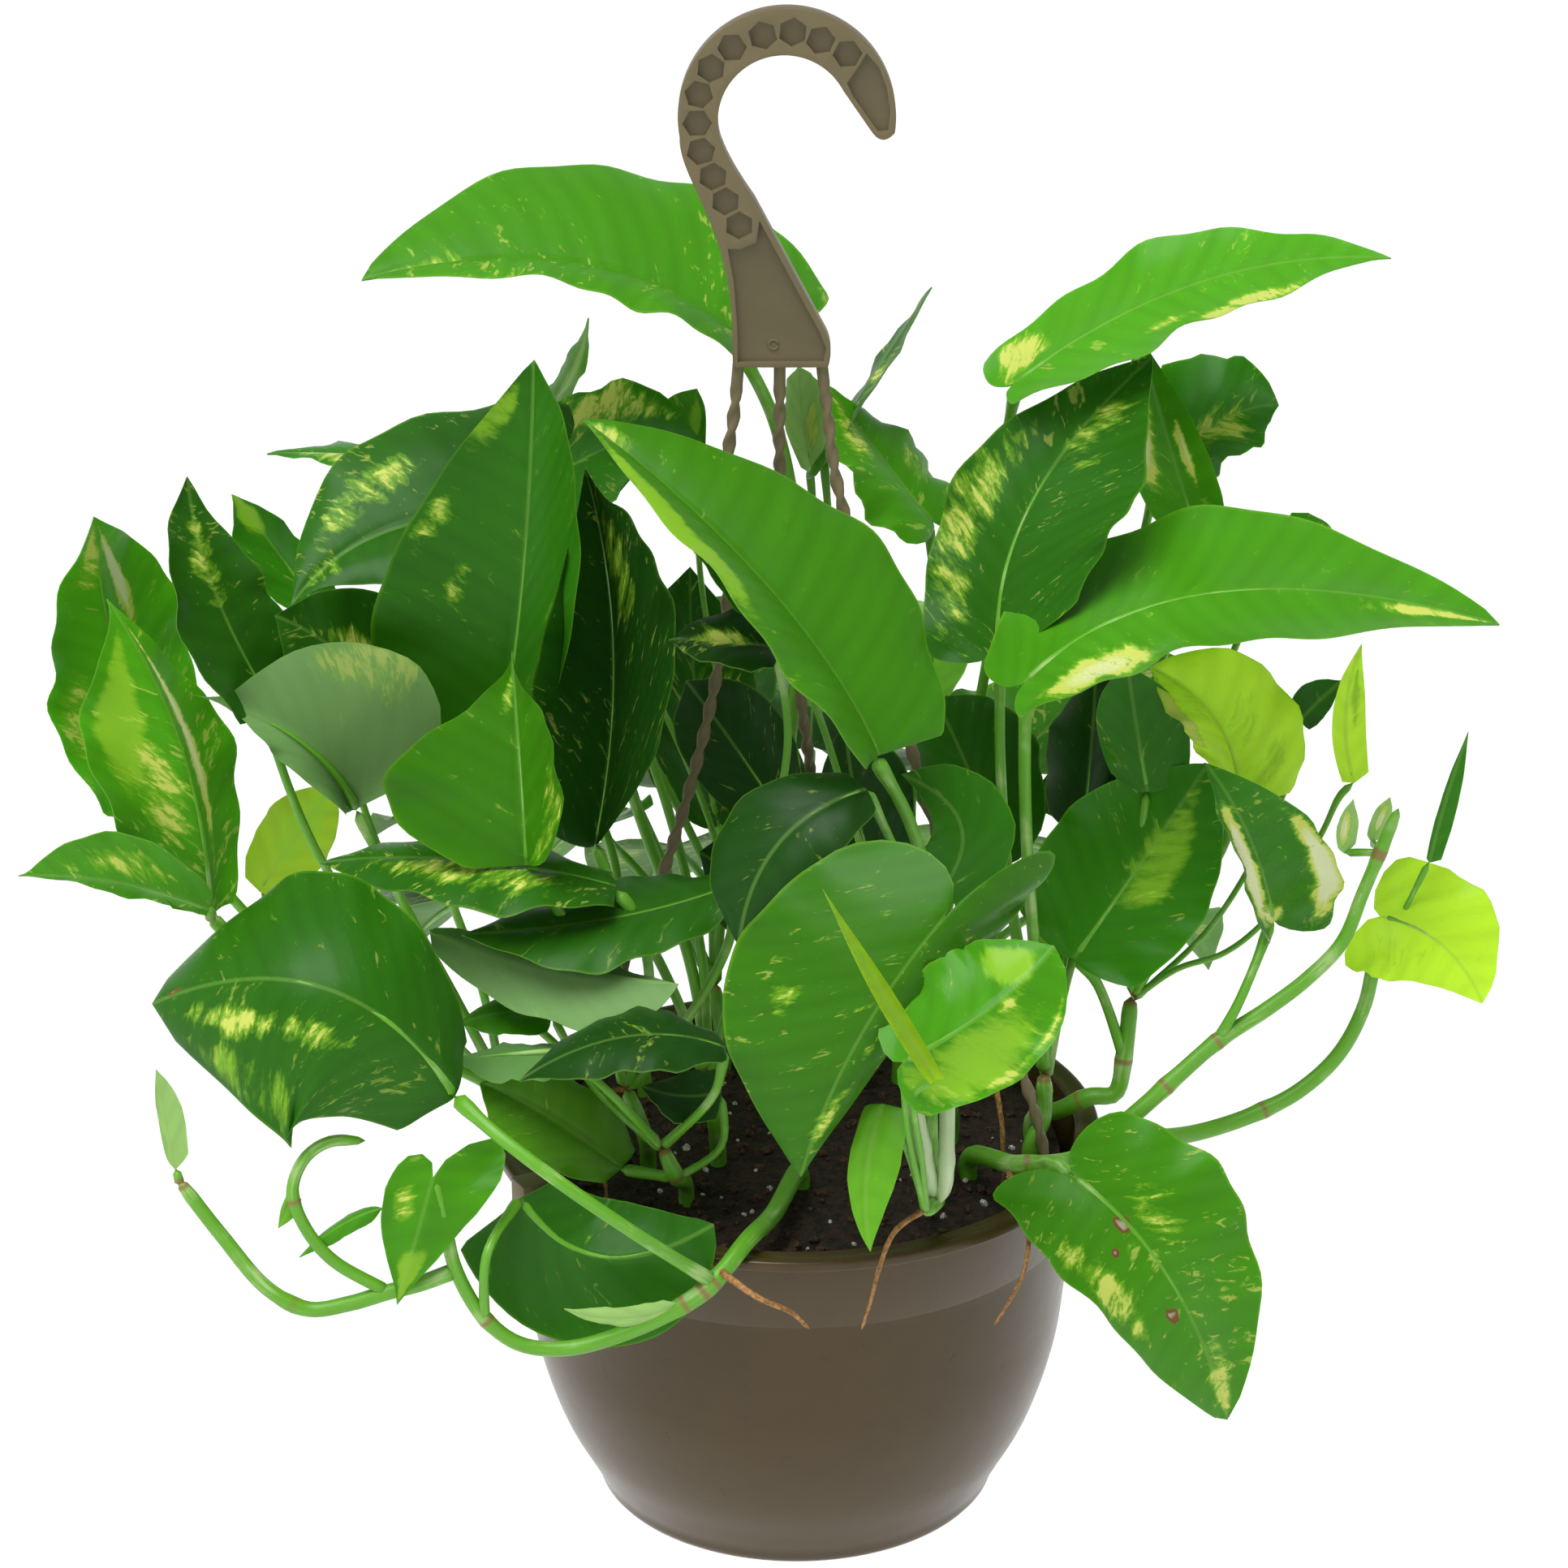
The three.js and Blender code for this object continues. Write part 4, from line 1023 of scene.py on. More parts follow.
    def stalk_on(self, mould: Mould, tone: Tone) -> None:
        """Adds the stalk, grooved and swollen at its knee, and the rib that it runs on as.

        Args:
            mould: The mesh it goes into.
            tone: Its colour.
        """
        radius = self.stalk_radius
        drop = -self.normal * self.up
        ribs = []
        for share in RIB_SHARES:
            point, way = self.rib_at(share)
            down = self.wide_way.rotation_difference(way) @ drop
            ribs.append(point + down * (radius * (1 - share) * 0.75 + 0.2))
        knee = drop * (radius * 0.75)
        arriving = (self.base - self.stalk[-1]).normalized()
        body = Route([*self.stalk, self.base + knee], self.pitch)
        tail = Route([self.base + knee * 0.9, *ribs], self.pitch)

        def thickness(distance: float, angle: float) -> float:
            """Stalk radius: broad foot, groove along it, swelling below the blade."""
            size = radius * (1 + 0.35 * exp(-distance / 9)) * (1 - 0.22 * bell(angle - pi, 0.55))
            return size * (1 + 0.3 * bell(body.length - distance - 5, 6)) * 0.92

        def tapering(distance: float, angle: float) -> float:
            """Rib radius: down to a hair towards the tip."""
            return radius * 0.85 * (1 - distance / tail.length) + 0.15

        colour = srgb(tone.value)
        mould.tube(body, thickness, self.stalk_sides, colour, lambda distance: bell(distance, 3))
        if arriving.dot(self.rib_at(0)[1]) >= FOLDED_BACK:
            mould.tube(tail, tapering, self.rib_sides, colour)


# ---- how each leaf of the photographed side looks ------------------------------------------------
def cream(*place: float) -> Patch:
    """A cream patch on a blade."""
    return Patch(Mark.CREAM, *place)


def lime(*place: float) -> Patch:
    """A lime patch on a blade."""
    return Patch(Mark.LIME, *place)


def scorch(*place: float) -> Patch:
    """A dry brown spot on a blade."""
    return Patch(Mark.SCORCH, *place)


# Each leaf's tone and light are partly its own green and partly painted light and shade, lightening
# some leaves and darkening others for how each is lit where it hangs.
LOOKS = {
    "A": Look(Tone.FRESH, 0.55, (cream(0.86, 0.1, 0.12, 0.25, 0.8),), ruffle=0.02),
    "B": Look(
        Tone.FRESH, 0.4, (
            cream(0.05, -0.6, 0.09, 0.4, 0.9), cream(0.62, 0.85, 0.17, 0.3),
            cream(0.4, 0.5, 0.1, 0.12, 0.6),
        ),
        light=1.15,
    ),
    "C": Look(Tone.DEEP, 0.5, (cream(0.3, 0.4, 0.3, 0.4, 0.5),)),
    "D": Look(
        Tone.FRESH, 0.5, (cream(0.75, 0.4, 0.25, 0.4, 0.7), cream(0.4, -0.5, 0.2, 0.3, 0.6)),
        ruffle=0.05, light=0.95,
    ),
    "D2": Look(Tone.PALE, 0.4, (cream(0.3, 0.4, 0.3, 0.4, 0.8),), light=1.15),
    "E": Look(Tone.LEAFY, 0.4, (lime(0.6, 0.2, 0.4, 0.5),)),
    "E2": Look(Tone.FRESH, 0.6, (lime(0.6, 0.2, 0.3, 0.5),)),
    "F": Look(Tone.MID, 0.5, (cream(0.55, 0.4, 0.3, 0.6, 0.7),)),
    "G": Look(
        Tone.DEEP, 0.5, (cream(0.62, -0.45, 0.22, 0.26, 0.56), cream(0.85, 0.2, 0.12, 0.5, 0.5)),
        light=1.1,
    ),
    "G2": Look(Tone.MID, 0.5, (cream(0.5, -0.7, 0.35, 0.35, 0.75),)),
    "H": Look(
        Tone.MID, 0.2, (
            cream(0.6, -0.84, 0.1, 0.14, 0.62), lime(0.88, -0.8, 0.1, 0.4, 0.6),
            cream(0.45, -0.5, 0.08, 0.1, 0.6),
        ),
        ruffle=0.02, light=0.8,
    ),
    "I": Look(
        Tone.DARK, 0.5, (lime(0.7, 0.3, 0.28, 0.3, 0.5), cream(0.7, 0.4, 0.2, 0.2, 0.5)),
        ruffle=0.05, light=1.2,
    ),
    "J": Look(
        Tone.FRESH, 0.2, (lime(0.7, 0.88, 0.3, 0.2, 0.9), cream(0.94, 0, 0.07, 0.6, 0.7)),
        ruffle=0.02, light=0.72,
    ),
    "K": Look(
        Tone.FRESH, 0.25, (cream(0.2, 0.68, 0.17, 0.34, 1.15), cream(0.9, 0.2, 0.12, 0.2, 0.9)),
        ruffle=0.02, light=0.95,
    ),
    "L2": Look(
        Tone.DEEP, 0.5, (cream(0.35, -0.72, 0.38, 0.34, 0.64), cream(0.75, 0.2, 0.15, 0.4, 0.5)),
        light=1.2,
    ),
    "M": Look(Tone.MID, 0.5, (cream(0.45, 0.1, 0.3, 0.5, 0.66),), ruffle=0.05, light=1.2),
    "N": Look(Tone.FRESH, 0.4, (cream(0.55, -0.65, 0.4, 0.4, 1.4), cream(0.4, 0.4, 0.22, 0.16, 1.2))),
    "O": Look(Tone.MID, 0.4, (cream(0.85, 0, 0.3, 0.8),)),
    "P1": Look(
        Tone.FRESH, 0.4, (
            cream(0.85, -0.3, 0.15, 0.5, 0.8), cream(0.72, 0.42, 0.25, 0.14, 1.4),
            cream(0.25, -0.6, 0.2, 0.4, 0.7),
        ),
        ruffle=0.04, light=1.5,
    ),
    "P2": Look(Tone.DEEP, 0.5, (cream(0.6, 0, 0.3, 0.4, 0.56),), ruffle=0.04),
    "P3": Look(Tone.MID, 0.3, (lime(0.9, 0, 0.25, 0.9),)),
    "P4": Look(Tone.DEEP, 0.4, (cream(0.55, 0.2, 0.2, 0.3, 0.7),), ruffle=0.04),
    "P5": Look(
        Tone.FRESH, 0.6, (
            cream(0.55, 0.28, 0.42, 0.13, 1.25), cream(0.35, -0.35, 0.22, 0.3, 0.72),
            lime(0.6, -0.6, 0.3, 0.3),
        ),
        ruffle=0.03, light=1.1,
    ),
    "P5b": Look(Tone.FRESH, 0.7, (cream(0.4, 0.4, 0.3, 0.3, 0.65),), light=1.15),
    "Q": Look(Tone.SILVER, 0.2, (cream(0.35, 0.85, 0.16, 0.25, 0.9),), back=True),
    "R": Look(
        Tone.FRESH, 0.3, (cream(0.82, -0.3, 0.14, 0.25, 0.62), cream(0.15, 0.7, 0.25, 0.3, 0.6)),
        light=0.68,
    ),
    "S": Look(Tone.DEEP, 0.6, (cream(0.5, 0.4, 0.35, 0.4, 0.66),)),
    **dict.fromkeys(("S2", "SS", "IC"), Look(Tone.DEEP, 0.3)),
    "T": Look(
        Tone.MID, 0.35, (
            cream(0.8, 0.32, 0.15, 0.16, 0.62), cream(0.5, 0.3, 0.22, 0.1, 0.66),
            lime(0.75, 0.75, 0.25, 0.25, 0.5), scorch(0.93, -0.06, 0.02, 0.06),
        ),
        light=0.68,
    ),
    "TT": Look(Tone.LIME, 0.2, (lime(0.6, 0, 0.4, 0.6),), light=0.85),
    "U": Look(Tone.SILVER, 0.2, back=True, light=0.95),
    "V": Look(Tone.DARK, 0.3, light=1.1),
    "W": Look(Tone.MID, 0.2, back=True),
    "X": Look(Tone.LEAFY, 0.4, light=0.8),
    "BB": Look(Tone.DARK, 0.2),
    "UU": Look(Tone.FRESH, 0.3, light=0.8),
    "VV": Look(Tone.DARK, 0.5, (cream(0.5, 0, 0.3, 0.4, 0.68),)),
    "XX": Look(Tone.MID, 0.3, light=0.8),
    "CC": Look(Tone.DARK, 0.35, light=1.1),
    "BR": Look(Tone.MID, 0.5, (cream(0.5, 0.3, 0.3, 0.4, 0.6),)),
    "EE": Look(
        Tone.FRESH, 0.45, (
            cream(0.4, -0.62, 0.08, 0.1, 0.5), cream(0.8, 0.2, 0.14, 0.3, 0.72),
            cream(0.55, 0.25, 0.07, 0.1, 0.56),
        ),
        light=0.6,
    ),
    "FF": Look(
        Tone.FRESH, 0.4, (
            lime(0.3, 0.5, 0.4, 0.5, 0.9), lime(0.75, -0.4, 0.2, 0.5, 0.9),
            cream(0.6, 0.1, 0.1, 0.12, 0.95), cream(0.5, 0.9, 0.4, 0.1, 0.8),
        ),
        streaks=0.0, ruffle=0.06,
    ),
    "GG": Look(Tone.LIME, 0.0, (lime(0.5, 0, 0.6, 0.4, 0.6),), ruffle=0.0, curl=0.62, light=0.9),
    "II": Look(Tone.LEAFY, 0.2),
    "JJ1": Look(Tone.MID, 0.4, light=0.9),
    "JJ2": Look(Tone.MID, 0.4, (lime(0.6, 0.2, 0.35, 0.4, 0.7),), ruffle=0.04),
    "JJ3": Look(Tone.LIME, 0.2),
    "KK": Look(
        Tone.LIME, 0.0, (
            cream(0.6, 0.88, 0.4, 0.2), lime(0.25, -0.4, 0.3, 0.5, 0.55),
            lime(0.65, 0.2, 0.2, 0.3, 0.45),
        ),
        ruffle=0.04, light=1.35,
    ),
    "MM": Look(Tone.LIME, 0.0, (lime(0.6, 0.5, 0.3, 0.3, 0.8),), light=1.25),
    "LL": Look(
        Tone.MID, 0.5, (
            cream(0.35, -0.5, 0.4, 0.4, 1.4), cream(0.35, 0.85, 0.38, 0.2, 1.4),
            cream(0.02, 0, 0.1, 0.4, 0.9),
        ),
        streaks=0.0,
    ),
    **dict.fromkeys(("NN1", "NN2"), Look(Tone.PALE, 0.1, (cream(0.5, 0, 0.4, 0.5, 1.3),))),
    "OO": Look(Tone.MID, 0.1),
    "PP": Look(
        Tone.LIME, 0.0, (lime(0.3, 0.5, 0.3, 0.5, 0.5), lime(0.6, -0.5, 0.25, 0.25, 0.4)),
        light=1.4,
    ),
    "QQ": Look(
        Tone.FRESH, 0.6, (
            cream(0.45, 0.7, 0.25, 0.24, 0.85), cream(0.9, -0.1, 0.14, 0.4, 0.85),
            cream(0.3, -0.3, 0.15, 0.25, 0.66), scorch(0.25, 0.05, 0.045, 0.09),
            scorch(0.34, 0.3, 0.025, 0.05), scorch(0.62, 0.2, 0.035, 0.08),
        ),
        light=0.95,
    ),
    "Y": Look(Tone.DEEP, 0.3, light=1.1),
    "Z": Look(Tone.FRESH, 0.3, (lime(0.85, 0, 0.25, 0.7), cream(0.3, 0.5, 0.2, 0.3, 0.7))),
    "TH": Look(Tone.FRESH, 0.1),
    **dict.fromkeys(("VT", "VS"), Look(Tone.PALE, 0.1)),
    "VB": Look(Tone.LEAFY, 0.1),
    **dict.fromkeys(("IA", "IB", "ID", "IE"), Look(Tone.DARK, 0.3)),
    "IF": Look(Tone.DEEP, 0.6, (cream(0.5, 0.3, 0.3, 0.4, 0.6),)),
}
FAR_MARKS = (
    (cream(0.6, 0.5, 0.25, 0.3, 0.8),),
    (),
    (cream(0.3, -0.6, 0.3, 0.3, 0.7), lime(0.8, 0.4, 0.2, 0.4)),
    (cream(0.75, 0.1, 0.15, 0.3),),
)

ROOTS = (
    (1.3, ((-20, -108, -358), (-14, -119, -357), (-7, -123, -360), (2, -122, -365), (8, -122, -371))),
    (1.0, ((44, -103, -339), (34, -111, -343), (29, -113, -356), (27, -112, -366), (24, -112, -377))),
    (1.1, ((72, -55, -350), (77, -88, -351), (75, -101, -362), (70, -101, -374), (66, -100, -382))),
    (1.2, ((53, -36, -325), (66, -42, -323), (70, -44, -336), (71, -44, -352), (71, -44, -368))),
    (1.0, ((-51, -46, -326), (-56, -52, -324), (-58, -54, -334), (-58, -54, -350), (-57, -54, -368))),
)
STUBS = (
    (3.6, ((47, -80, -348), (45, -98, -330), (42, -108, -314), (39, -109, -296), (38, -108, -288))),
    (3.2, ((47, -80, -348), (50, -96, -334), (50, -104, -322), (50, -105, -308), (50, -104, -297))),
)
STEMS = (
    ("vine_front_left", (
        (3.4, ((5, -36, -366), (-4, -74, -357), (-12, -97, -354), (-22, -110, -361), (-30, -114, -366),
         (-47, -115, -375), (-67, -116, -381), (-82, -117, -379), (-93, -118, -369), (-101, -119, -352),
         (-104, -120, -335))),
        (2.6, ((-101, -119, -352), (-112, -120, -356), (-122, -120, -359), (-134, -120, -363),
         (-147, -120, -365), (-159, -120, -358), (-173, -118, -340), (-185, -117, -322))),
        (2.0, ((-122, -120, -359), (-139, -121, -347), (-147, -121, -335), (-150, -120, -324),
         (-146, -118, -314), (-139, -115, -310), (-128, -112, -311))),
    ), (
        ("T", 3, (0, 0.42, 0.4), (-100, -110, -297), (-139, -115, -258), (-195, -88, -276),
         (-115, -75, -244), (-153, -122, -308), (-46, -128, -334), (-69, -130, -315),
         (-88, -122, -303)),
        ("Y", 8, (0, 0.6), (-82, -100, -337), (-57, -103, -356), (-22, -106, -343), (-56, -90, -342),
         (-79, -104, -382), (-91, -121, -345)),
        ("Z", 10, (0.2, 1.1), (-107, -119, -320), (-112, -125, -337), (-119, -125, -361),
         (-86, -114, -322), (-123, -124, -327)),
        ("TH", 10, (), (-123, -118, -331), (-136, -120, -336), (-149, -120, -347), (-134, -115, -335),
         (-133, -120, -339), (-115, -119, -331)),
        ("VT", 18, (), (-186, -116, -319), (-188, -116, -302), (-190, -116, -285), (-190, -116, -305),
         (-182, -116, -303)),
        ("VB", 22, (), (-150, -120, -325), (-152, -120, -330), (-155, -120, -337), (-153, -120, -328),
         (-148, -120, -330)),
        ("VS", 4, (), (-33, -116, -365), (-49, -118, -369), (-68, -120, -365), (-47, -118, -365),
         (-47, -116, -373)),
    )),
    ("vine_right", (
        (3.4, ((61, -26, -366), (77, -58, -347), (96, -48, -349), (114, -44, -335), (127, -40, -324),
         (140, -35, -314), (156, -30, -305), (169, -28, -295), (180, -26, -283), (186, -25, -266),
         (191, -24, -252), (196, -24, -237))),
        (3.0, ((109, -45, -340), (123, -30, -351), (138, -18, -355), (155, -12, -352), (171, -8, -345),
         (184, -5, -333), (192, -2, -317), (195, 0, -301))),
    ), (
        ("LL", 5, (0.05, 0.75), (159, -18, -279), (148, -30, -244), (133, -30, -219), (147, -38, -258),
         (181, -6, -268), (146, -34, -302), (152, -28, -290)),
        ("NN1", 10, (), (181, -14, -257), (180, -14, -248), (183, -14, -238), (178, -14, -249),
         (185, -14, -249), (186, -20, -254)),
        ("NN2", 10, (), (192, 0, -259), (194, 0, -251), (197, 0, -243), (191, 0, -251),
         (197, 0, -252)),
        ("PP", -1, (0.1, 0.7), (196, 0, -285), (216, -5, -293), (230, -10, -312), (224, 15, -276),
         (191, -20, -298)),
        ("OO", -1, (), (211, 0, -266), (215, 0, -244), (221, 0, -220), (212, 0, -251), (218, 0, -252),
         (206, 4, -281)),
        ("QQ", 1, (0.1, 0.5), (92, -75, -342), (122, -90, -371), (143, -85, -425), (138, -60, -345),
         (84, -105, -358), (86, -70, -340)),
    )),
    ("vine_right_back", (
        (3.2, ((84, 4, -366), (92, -2, -355), (102, -6, -348), (110, -6, -347), (113, -4, -334),
         (115, 0, -314))),
    ), (
        ("JJ1", -1, (0.05,), (118, 0, -241), (114, 0, -220), (110, 0, -197), (101, 0, -220),
         (131, 0, -220), (115, 0, -277)),
        ("KK", -1, (0.03, 0.7), (148, 4, -245), (140, 6, -219), (118, 6, -200), (168, 16, -220),
         (132, -10, -221), (134, 2, -280), (144, 3, -261)),
        ("MM", -1, (), (185, 0, -238), (181, 0, -214), (185, 0, -190), (177, 0, -222), (188, 0, -220),
         (130, 0, -304), (145, 3, -300), (157, 5, -291), (167, 6, -276), (176, 4, -257),
         (181, 2, -243)),
        ("JJ2", 4, (0.05, 0.7), (95, -9, -296), (115, -5, -266), (137, -3, -230), (85, 6, -260),
         (132, -20, -284), (103, -4, -307)),
        ("SS", -1, (), (169, 20, -224), (175, 20, -217), (182, 20, -210), (168, 20, -213),
         (176, 20, -224), (144, 14, -292), (165, 22, -251)),
    )),
    ("stem_right", (
        (3.0, ((82, -15, -366), (86, -12, -354), (86, -10, -337))),
    ), (
        ("JJ3", -1, (), (83, 10, -294), (98, 10, -293), (116, 10, -293), (96, 20, -291), (95, 0, -297),
         (88, 2, -312)),
        ("K", -1, (0.05, 0.62, 0.5), (76, -20, -195), (136, -15, -167), (225, -20, -176),
         (96, 35, -166), (106, -60, -179), (83, -10, -301), (79, -13, -260), (77, -17, -224)),
        ("L2", -1, (0.05, 0.75), (69, 10, -195), (80, 30, -152), (119, 46, -108), (48, 36, -165),
         (106, 0, -151), (77, 15, -298), (71, 16, -240)),
        ("M", -1, (0.1,), (124, 80, -160), (145, 80, -140), (165, 80, -134), (133, 105, -127),
         (148, 60, -148), (94, 25, -302), (103, 45, -237), (118, 70, -188)),
        ("N", -1, (0.05,), (135, 55, -166), (125, 58, -136), (116, 60, -105), (112, 45, -143),
         (142, 50, -150), (96, 22, -301), (117, 38, -234), (132, 50, -193)),
        ("O", -1, (0.1,), (155, 45, -181), (169, 45, -171), (180, 45, -166), (165, 60, -168),
         (165, 30, -176), (99, 18, -302), (127, 26, -244), (149, 40, -206)),
        ("IC", -1, (0.1,), (73, 30, -278), (63, 36, -251), (50, 40, -223), (45, 20, -253),
         (84, 50, -242), (81, 20, -315), (76, 27, -291)),
        ("IE", -1, (0.1,), (100, 28, -262), (102, 31, -237), (103, 35, -213), (86, 22, -237),
         (118, 40, -235), (96, 20, -309), (101, 28, -283)),
    )),
    ("stem_centre", (
        (3.0, ((56, 0, -366), (53, -36, -327), (52, -37, -309))),
    ), (
        ("J", -1, (0, 0.7, 0.55), (29, -70, -201), (-5, -50, -154), (-62, -20, -109), (46, -30, -167),
         (1, -100, -164), (48, -47, -265), (39, -58, -228)),
        ("XX", -1, (), (47, -50, -258), (56, -40, -237), (37, -35, -221), (42, -50, -241),
         (73, -35, -242), (55, -42, -281)),
        ("CC", -1, (0, 0.85, 0.4), (25, -80, -208), (-2, -88, -223), (-14, -92, -255),
         (-13, -70, -212), (19, -95, -225), (42, -60, -256)),
        ("BR", -1, (0.05,), (1, -14, -180), (-17, -18, -156), (-32, -16, -140), (-4, -8, -159),
         (-17, -30, -165), (30, -22, -267), (11, -14, -209)),
    )),
    ("stem_front", (
        (3.2, ((53, -28, -366), (48, -80, -348), (44, -104, -339))),
    ), (
        ("EE", 1, (0.2, 0.8), (47, -118, -235), (21, -128, -272), (5, -125, -317), (-15, -100, -251),
         (65, -106, -244), (46, -92, -308), (48, -106, -266)),
        ("FF", -1, (0.08, 0.45), (35, -138, -272), (61, -138, -254), (80, -125, -240),
         (44, -120, -248), (64, -145, -278), (38, -122, -305)),
        ("GG", -1, (0, 1), (44, -150, -272), (27, -150, -242), (11, -150, -211), (28, -152, -255),
         (39, -148, -252), (42, -118, -315), (39, -138, -283)),
        ("II", -1, (), (30, -115, -297), (25, -125, -317), (26, -135, -337), (20, -120, -311),
         (36, -125, -308), (36, -112, -310)),
    )),
    ("stem_left", (
        (3.0, ((-22, -19, -366), (-23, -32, -341), (-25, -30, -327))),
    ), (
        ("H", -1, (0.1, 0.78), (-92, -2, -227), (-83, 2, -165), (-79, 14, -100), (-132, -8, -186),
         (-65, -18, -164), (-48, -33, -298), (-74, -20, -260)),
        ("I", -1, (0.03,), (-61, -15, -253), (-55, 5, -194), (-63, 5, -133), (-79, -35, -201),
         (-34, -40, -167), (-41, -25, -289), (-57, -18, -263)),
        ("G", -1, (0.1, 1.1), (-73, 38, -161), (-126, 37, -163), (-159, 12, -181), (-99, 81, -132),
         (-103, 5, -177), (-32, 15, -307), (-51, 40, -258), (-66, 38, -200)),
        ("G2", -1, (0.05,), (-81, 45, -152), (-49, 45, -135), (-26, 45, -139), (-75, 80, -132),
         (-59, 20, -149), (-29, 20, -300), (-45, 38, -243), (-69, 45, -191)),
        ("VV", -1, (), (-2, -40, -177), (-19, -40, -175), (-36, -38, -175), (-14, -26, -170),
         (-14, -56, -178), (-11, -24, -275), (1, -30, -214)),
    )),
    ("stem_left_low", (
        (3.0, ((-45, -23, -366), (-46, -45, -340), (-51, -45, -326))),
    ), (
        ("R", -1, (0, 1.9, 0.35), (-81, -50, -246), (-83, -40, -213), (-86, -20, -185),
         (-132, -62, -217), (-66, -70, -207), (-61, -46, -288), (-73, -48, -259)),
        ("S", -1, (0, 0.85, 0.4), (-53, -45, -255), (-99, -45, -246), (-147, -40, -249),
         (-83, -15, -252), (-82, -75, -253), (-43, -45, -291), (-47, -45, -266)),
        ("S2", -1, (0, 0.85, 0.4), (-17, -40, -257), (-55, -50, -264), (-101, -60, -265),
         (-43, -20, -261), (-40, -70, -271), (-30, -42, -301), (-17, -40, -274)),
    )),
    ("stem_far_left", (
        (3.0, ((-73, -3, -366), (-81, -30, -342), (-92, -30, -333))),
    ), (
        ("Q", -1, (0, 2.2, 0.5), (-139, -8, -244), (-155, -20, -215), (-189, -14, -202),
         (-157, -40, -217), (-116, -34, -174), (-108, -14, -308), (-125, -6, -277)),
        ("P5", -1, (0, 1.2, 0.35), (-182, -40, -267), (-190, -30, -214), (-214, -10, -171),
         (-216, -60, -220), (-173, -10, -233), (-135, -34, -309), (-168, -36, -287)),
        ("P5b", (-182, -42, -267), (0, 1.3, 0.3), (-182, -46, -263), (-210, -56, -249),
         (-240, -54, -248), (-200, -50, -259), (-198, -58, -231)),
        ("P1", -1, (0.03, 0.9), (-205, 17, -251), (-218, 20, -199), (-219, 5, -149), (-235, 0, -217),
         (-198, 50, -207), (-137, 0, -324), (-180, 14, -289)),
        ("P2", -1, (0.05,), (-166, -10, -202), (-181, -10, -165), (-188, 0, -134), (-186, -30, -181),
         (-159, 5, -183), (-124, -12, -306), (-152, -4, -261), (-164, -6, -223)),
        ("P3", -1, (0.05,), (-152, 42, -196), (-165, 48, -178), (-181, 48, -155), (-175, 38, -179),
         (-155, 62, -183), (-110, 10, -319), (-136, 36, -277), (-149, 42, -230)),
        ("P4", -1, (0.05,), (-124, 12, -233), (-138, 6, -201), (-162, -4, -179), (-151, -14, -212),
         (-117, 16, -189), (-101, 4, -311), (-116, 12, -267)),
        ("TT", -1, (0, 0.85, 0.5), (-175, 20, -285), (-162, 20, -265), (-148, 20, -246),
         (-177, 25, -264), (-154, 10, -275), (-136, -4, -319), (-162, 14, -303)),
    )),
    ("stem_front_left", (
        (2.8, ((-32, -46, -366), (-35, -68, -345), (-39, -66, -336))),
    ), (
        ("U", -1, (0, 0.85, 0.3), (-113, -40, -273), (-70, -60, -276), (-33, -70, -278),
         (-84, -40, -276), (-80, -75, -290), (-72, -52, -308), (-97, -44, -287)),
        ("V", -1, (0, 0.85, 0.4), (-18, -90, -290), (-49, -95, -284), (-82, -95, -299),
         (-40, -68, -286), (-36, -110, -290), (-22, -84, -309)),
        ("W", -1, (), (-70, -74, -300), (-88, -78, -299), (-102, -80, -299), (-84, -58, -304),
         (-82, -88, -303), (-55, -80, -310)),
        ("X", 1, (0, 0.85, 0.5), (-52, -60, -347), (-76, -70, -323), (-95, -80, -307),
         (-58, -50, -325), (-78, -90, -332)),
        ("BB", 1, (), (-20, -60, -320), (-33, -65, -319), (-45, -70, -313), (-28, -50, -317),
         (-30, -75, -324), (-20, -62, -338)),
        ("UU", -1, (), (-74, -50, -297), (-90, -50, -297), (-104, -50, -301), (-85, -40, -295),
         (-84, -60, -300), (-61, -58, -319)),
    )),
    ("stem_back_left", (
        (3.0, ((-10, 44, -366), (-10, 40, -349), (-9, 46, -327))),
    ), (
        ("A", -1, (0.08, 0.66), (-16, 40, -98), (-69, 45, -77), (-134, 30, -78), (-25, 95, -65),
         (-43, 10, -82), (1, 50, -253), (5, 52, -182), (-3, 45, -130)),
        ("E", -1, (0.1, 1.1), (-84, 90, -143), (-72, 90, -127), (-65, 90, -107), (-77, 80, -126),
         (-72, 100, -137), (-32, 62, -258), (-68, 82, -186)),
        ("E2", -1, (0.1,), (-30, 77, -157), (-30, 78, -142), (-29, 78, -128), (-42, 78, -139),
         (-26, 78, -142), (-17, 58, -257), (-28, 74, -195)),
        ("F", -1, (0.1,), (-123, 95, -159), (-148, 98, -157), (-176, 100, -157), (-142, 118, -160),
         (-139, 78, -156), (-46, 54, -249), (-82, 75, -207), (-108, 90, -177)),
        ("ID", -1, (0.1,), (14, 8, -307), (-4, 12, -286), (-28, 14, -268), (-16, -8, -291),
         (5, 32, -273), (9, 20, -327)),
        ("IA", -1, (0.1,), (0, 14, -257), (-15, 18, -234), (-32, 20, -210), (-31, 9, -237),
         (-2, 19, -220), (5, 34, -306), (4, 20, -274)),
        ("IF", -1, (0.1,), (-23, 66, -278), (-30, 72, -238), (-32, 80, -191), (-53, 78, -238),
         (-9, 70, -232), (-7, 52, -314), (-18, 62, -291)),
    )),
    ("stem_back_right", (
        (3.0, ((40, 44, -366), (42, 44, -350), (43, 50, -329))),
    ), (
        ("D2", -1, (0.1,), (9, 62, -150), (6, 66, -133), (5, 70, -118), (0, 58, -131), (14, 76, -133),
         (31, 58, -257), (13, 64, -192)),
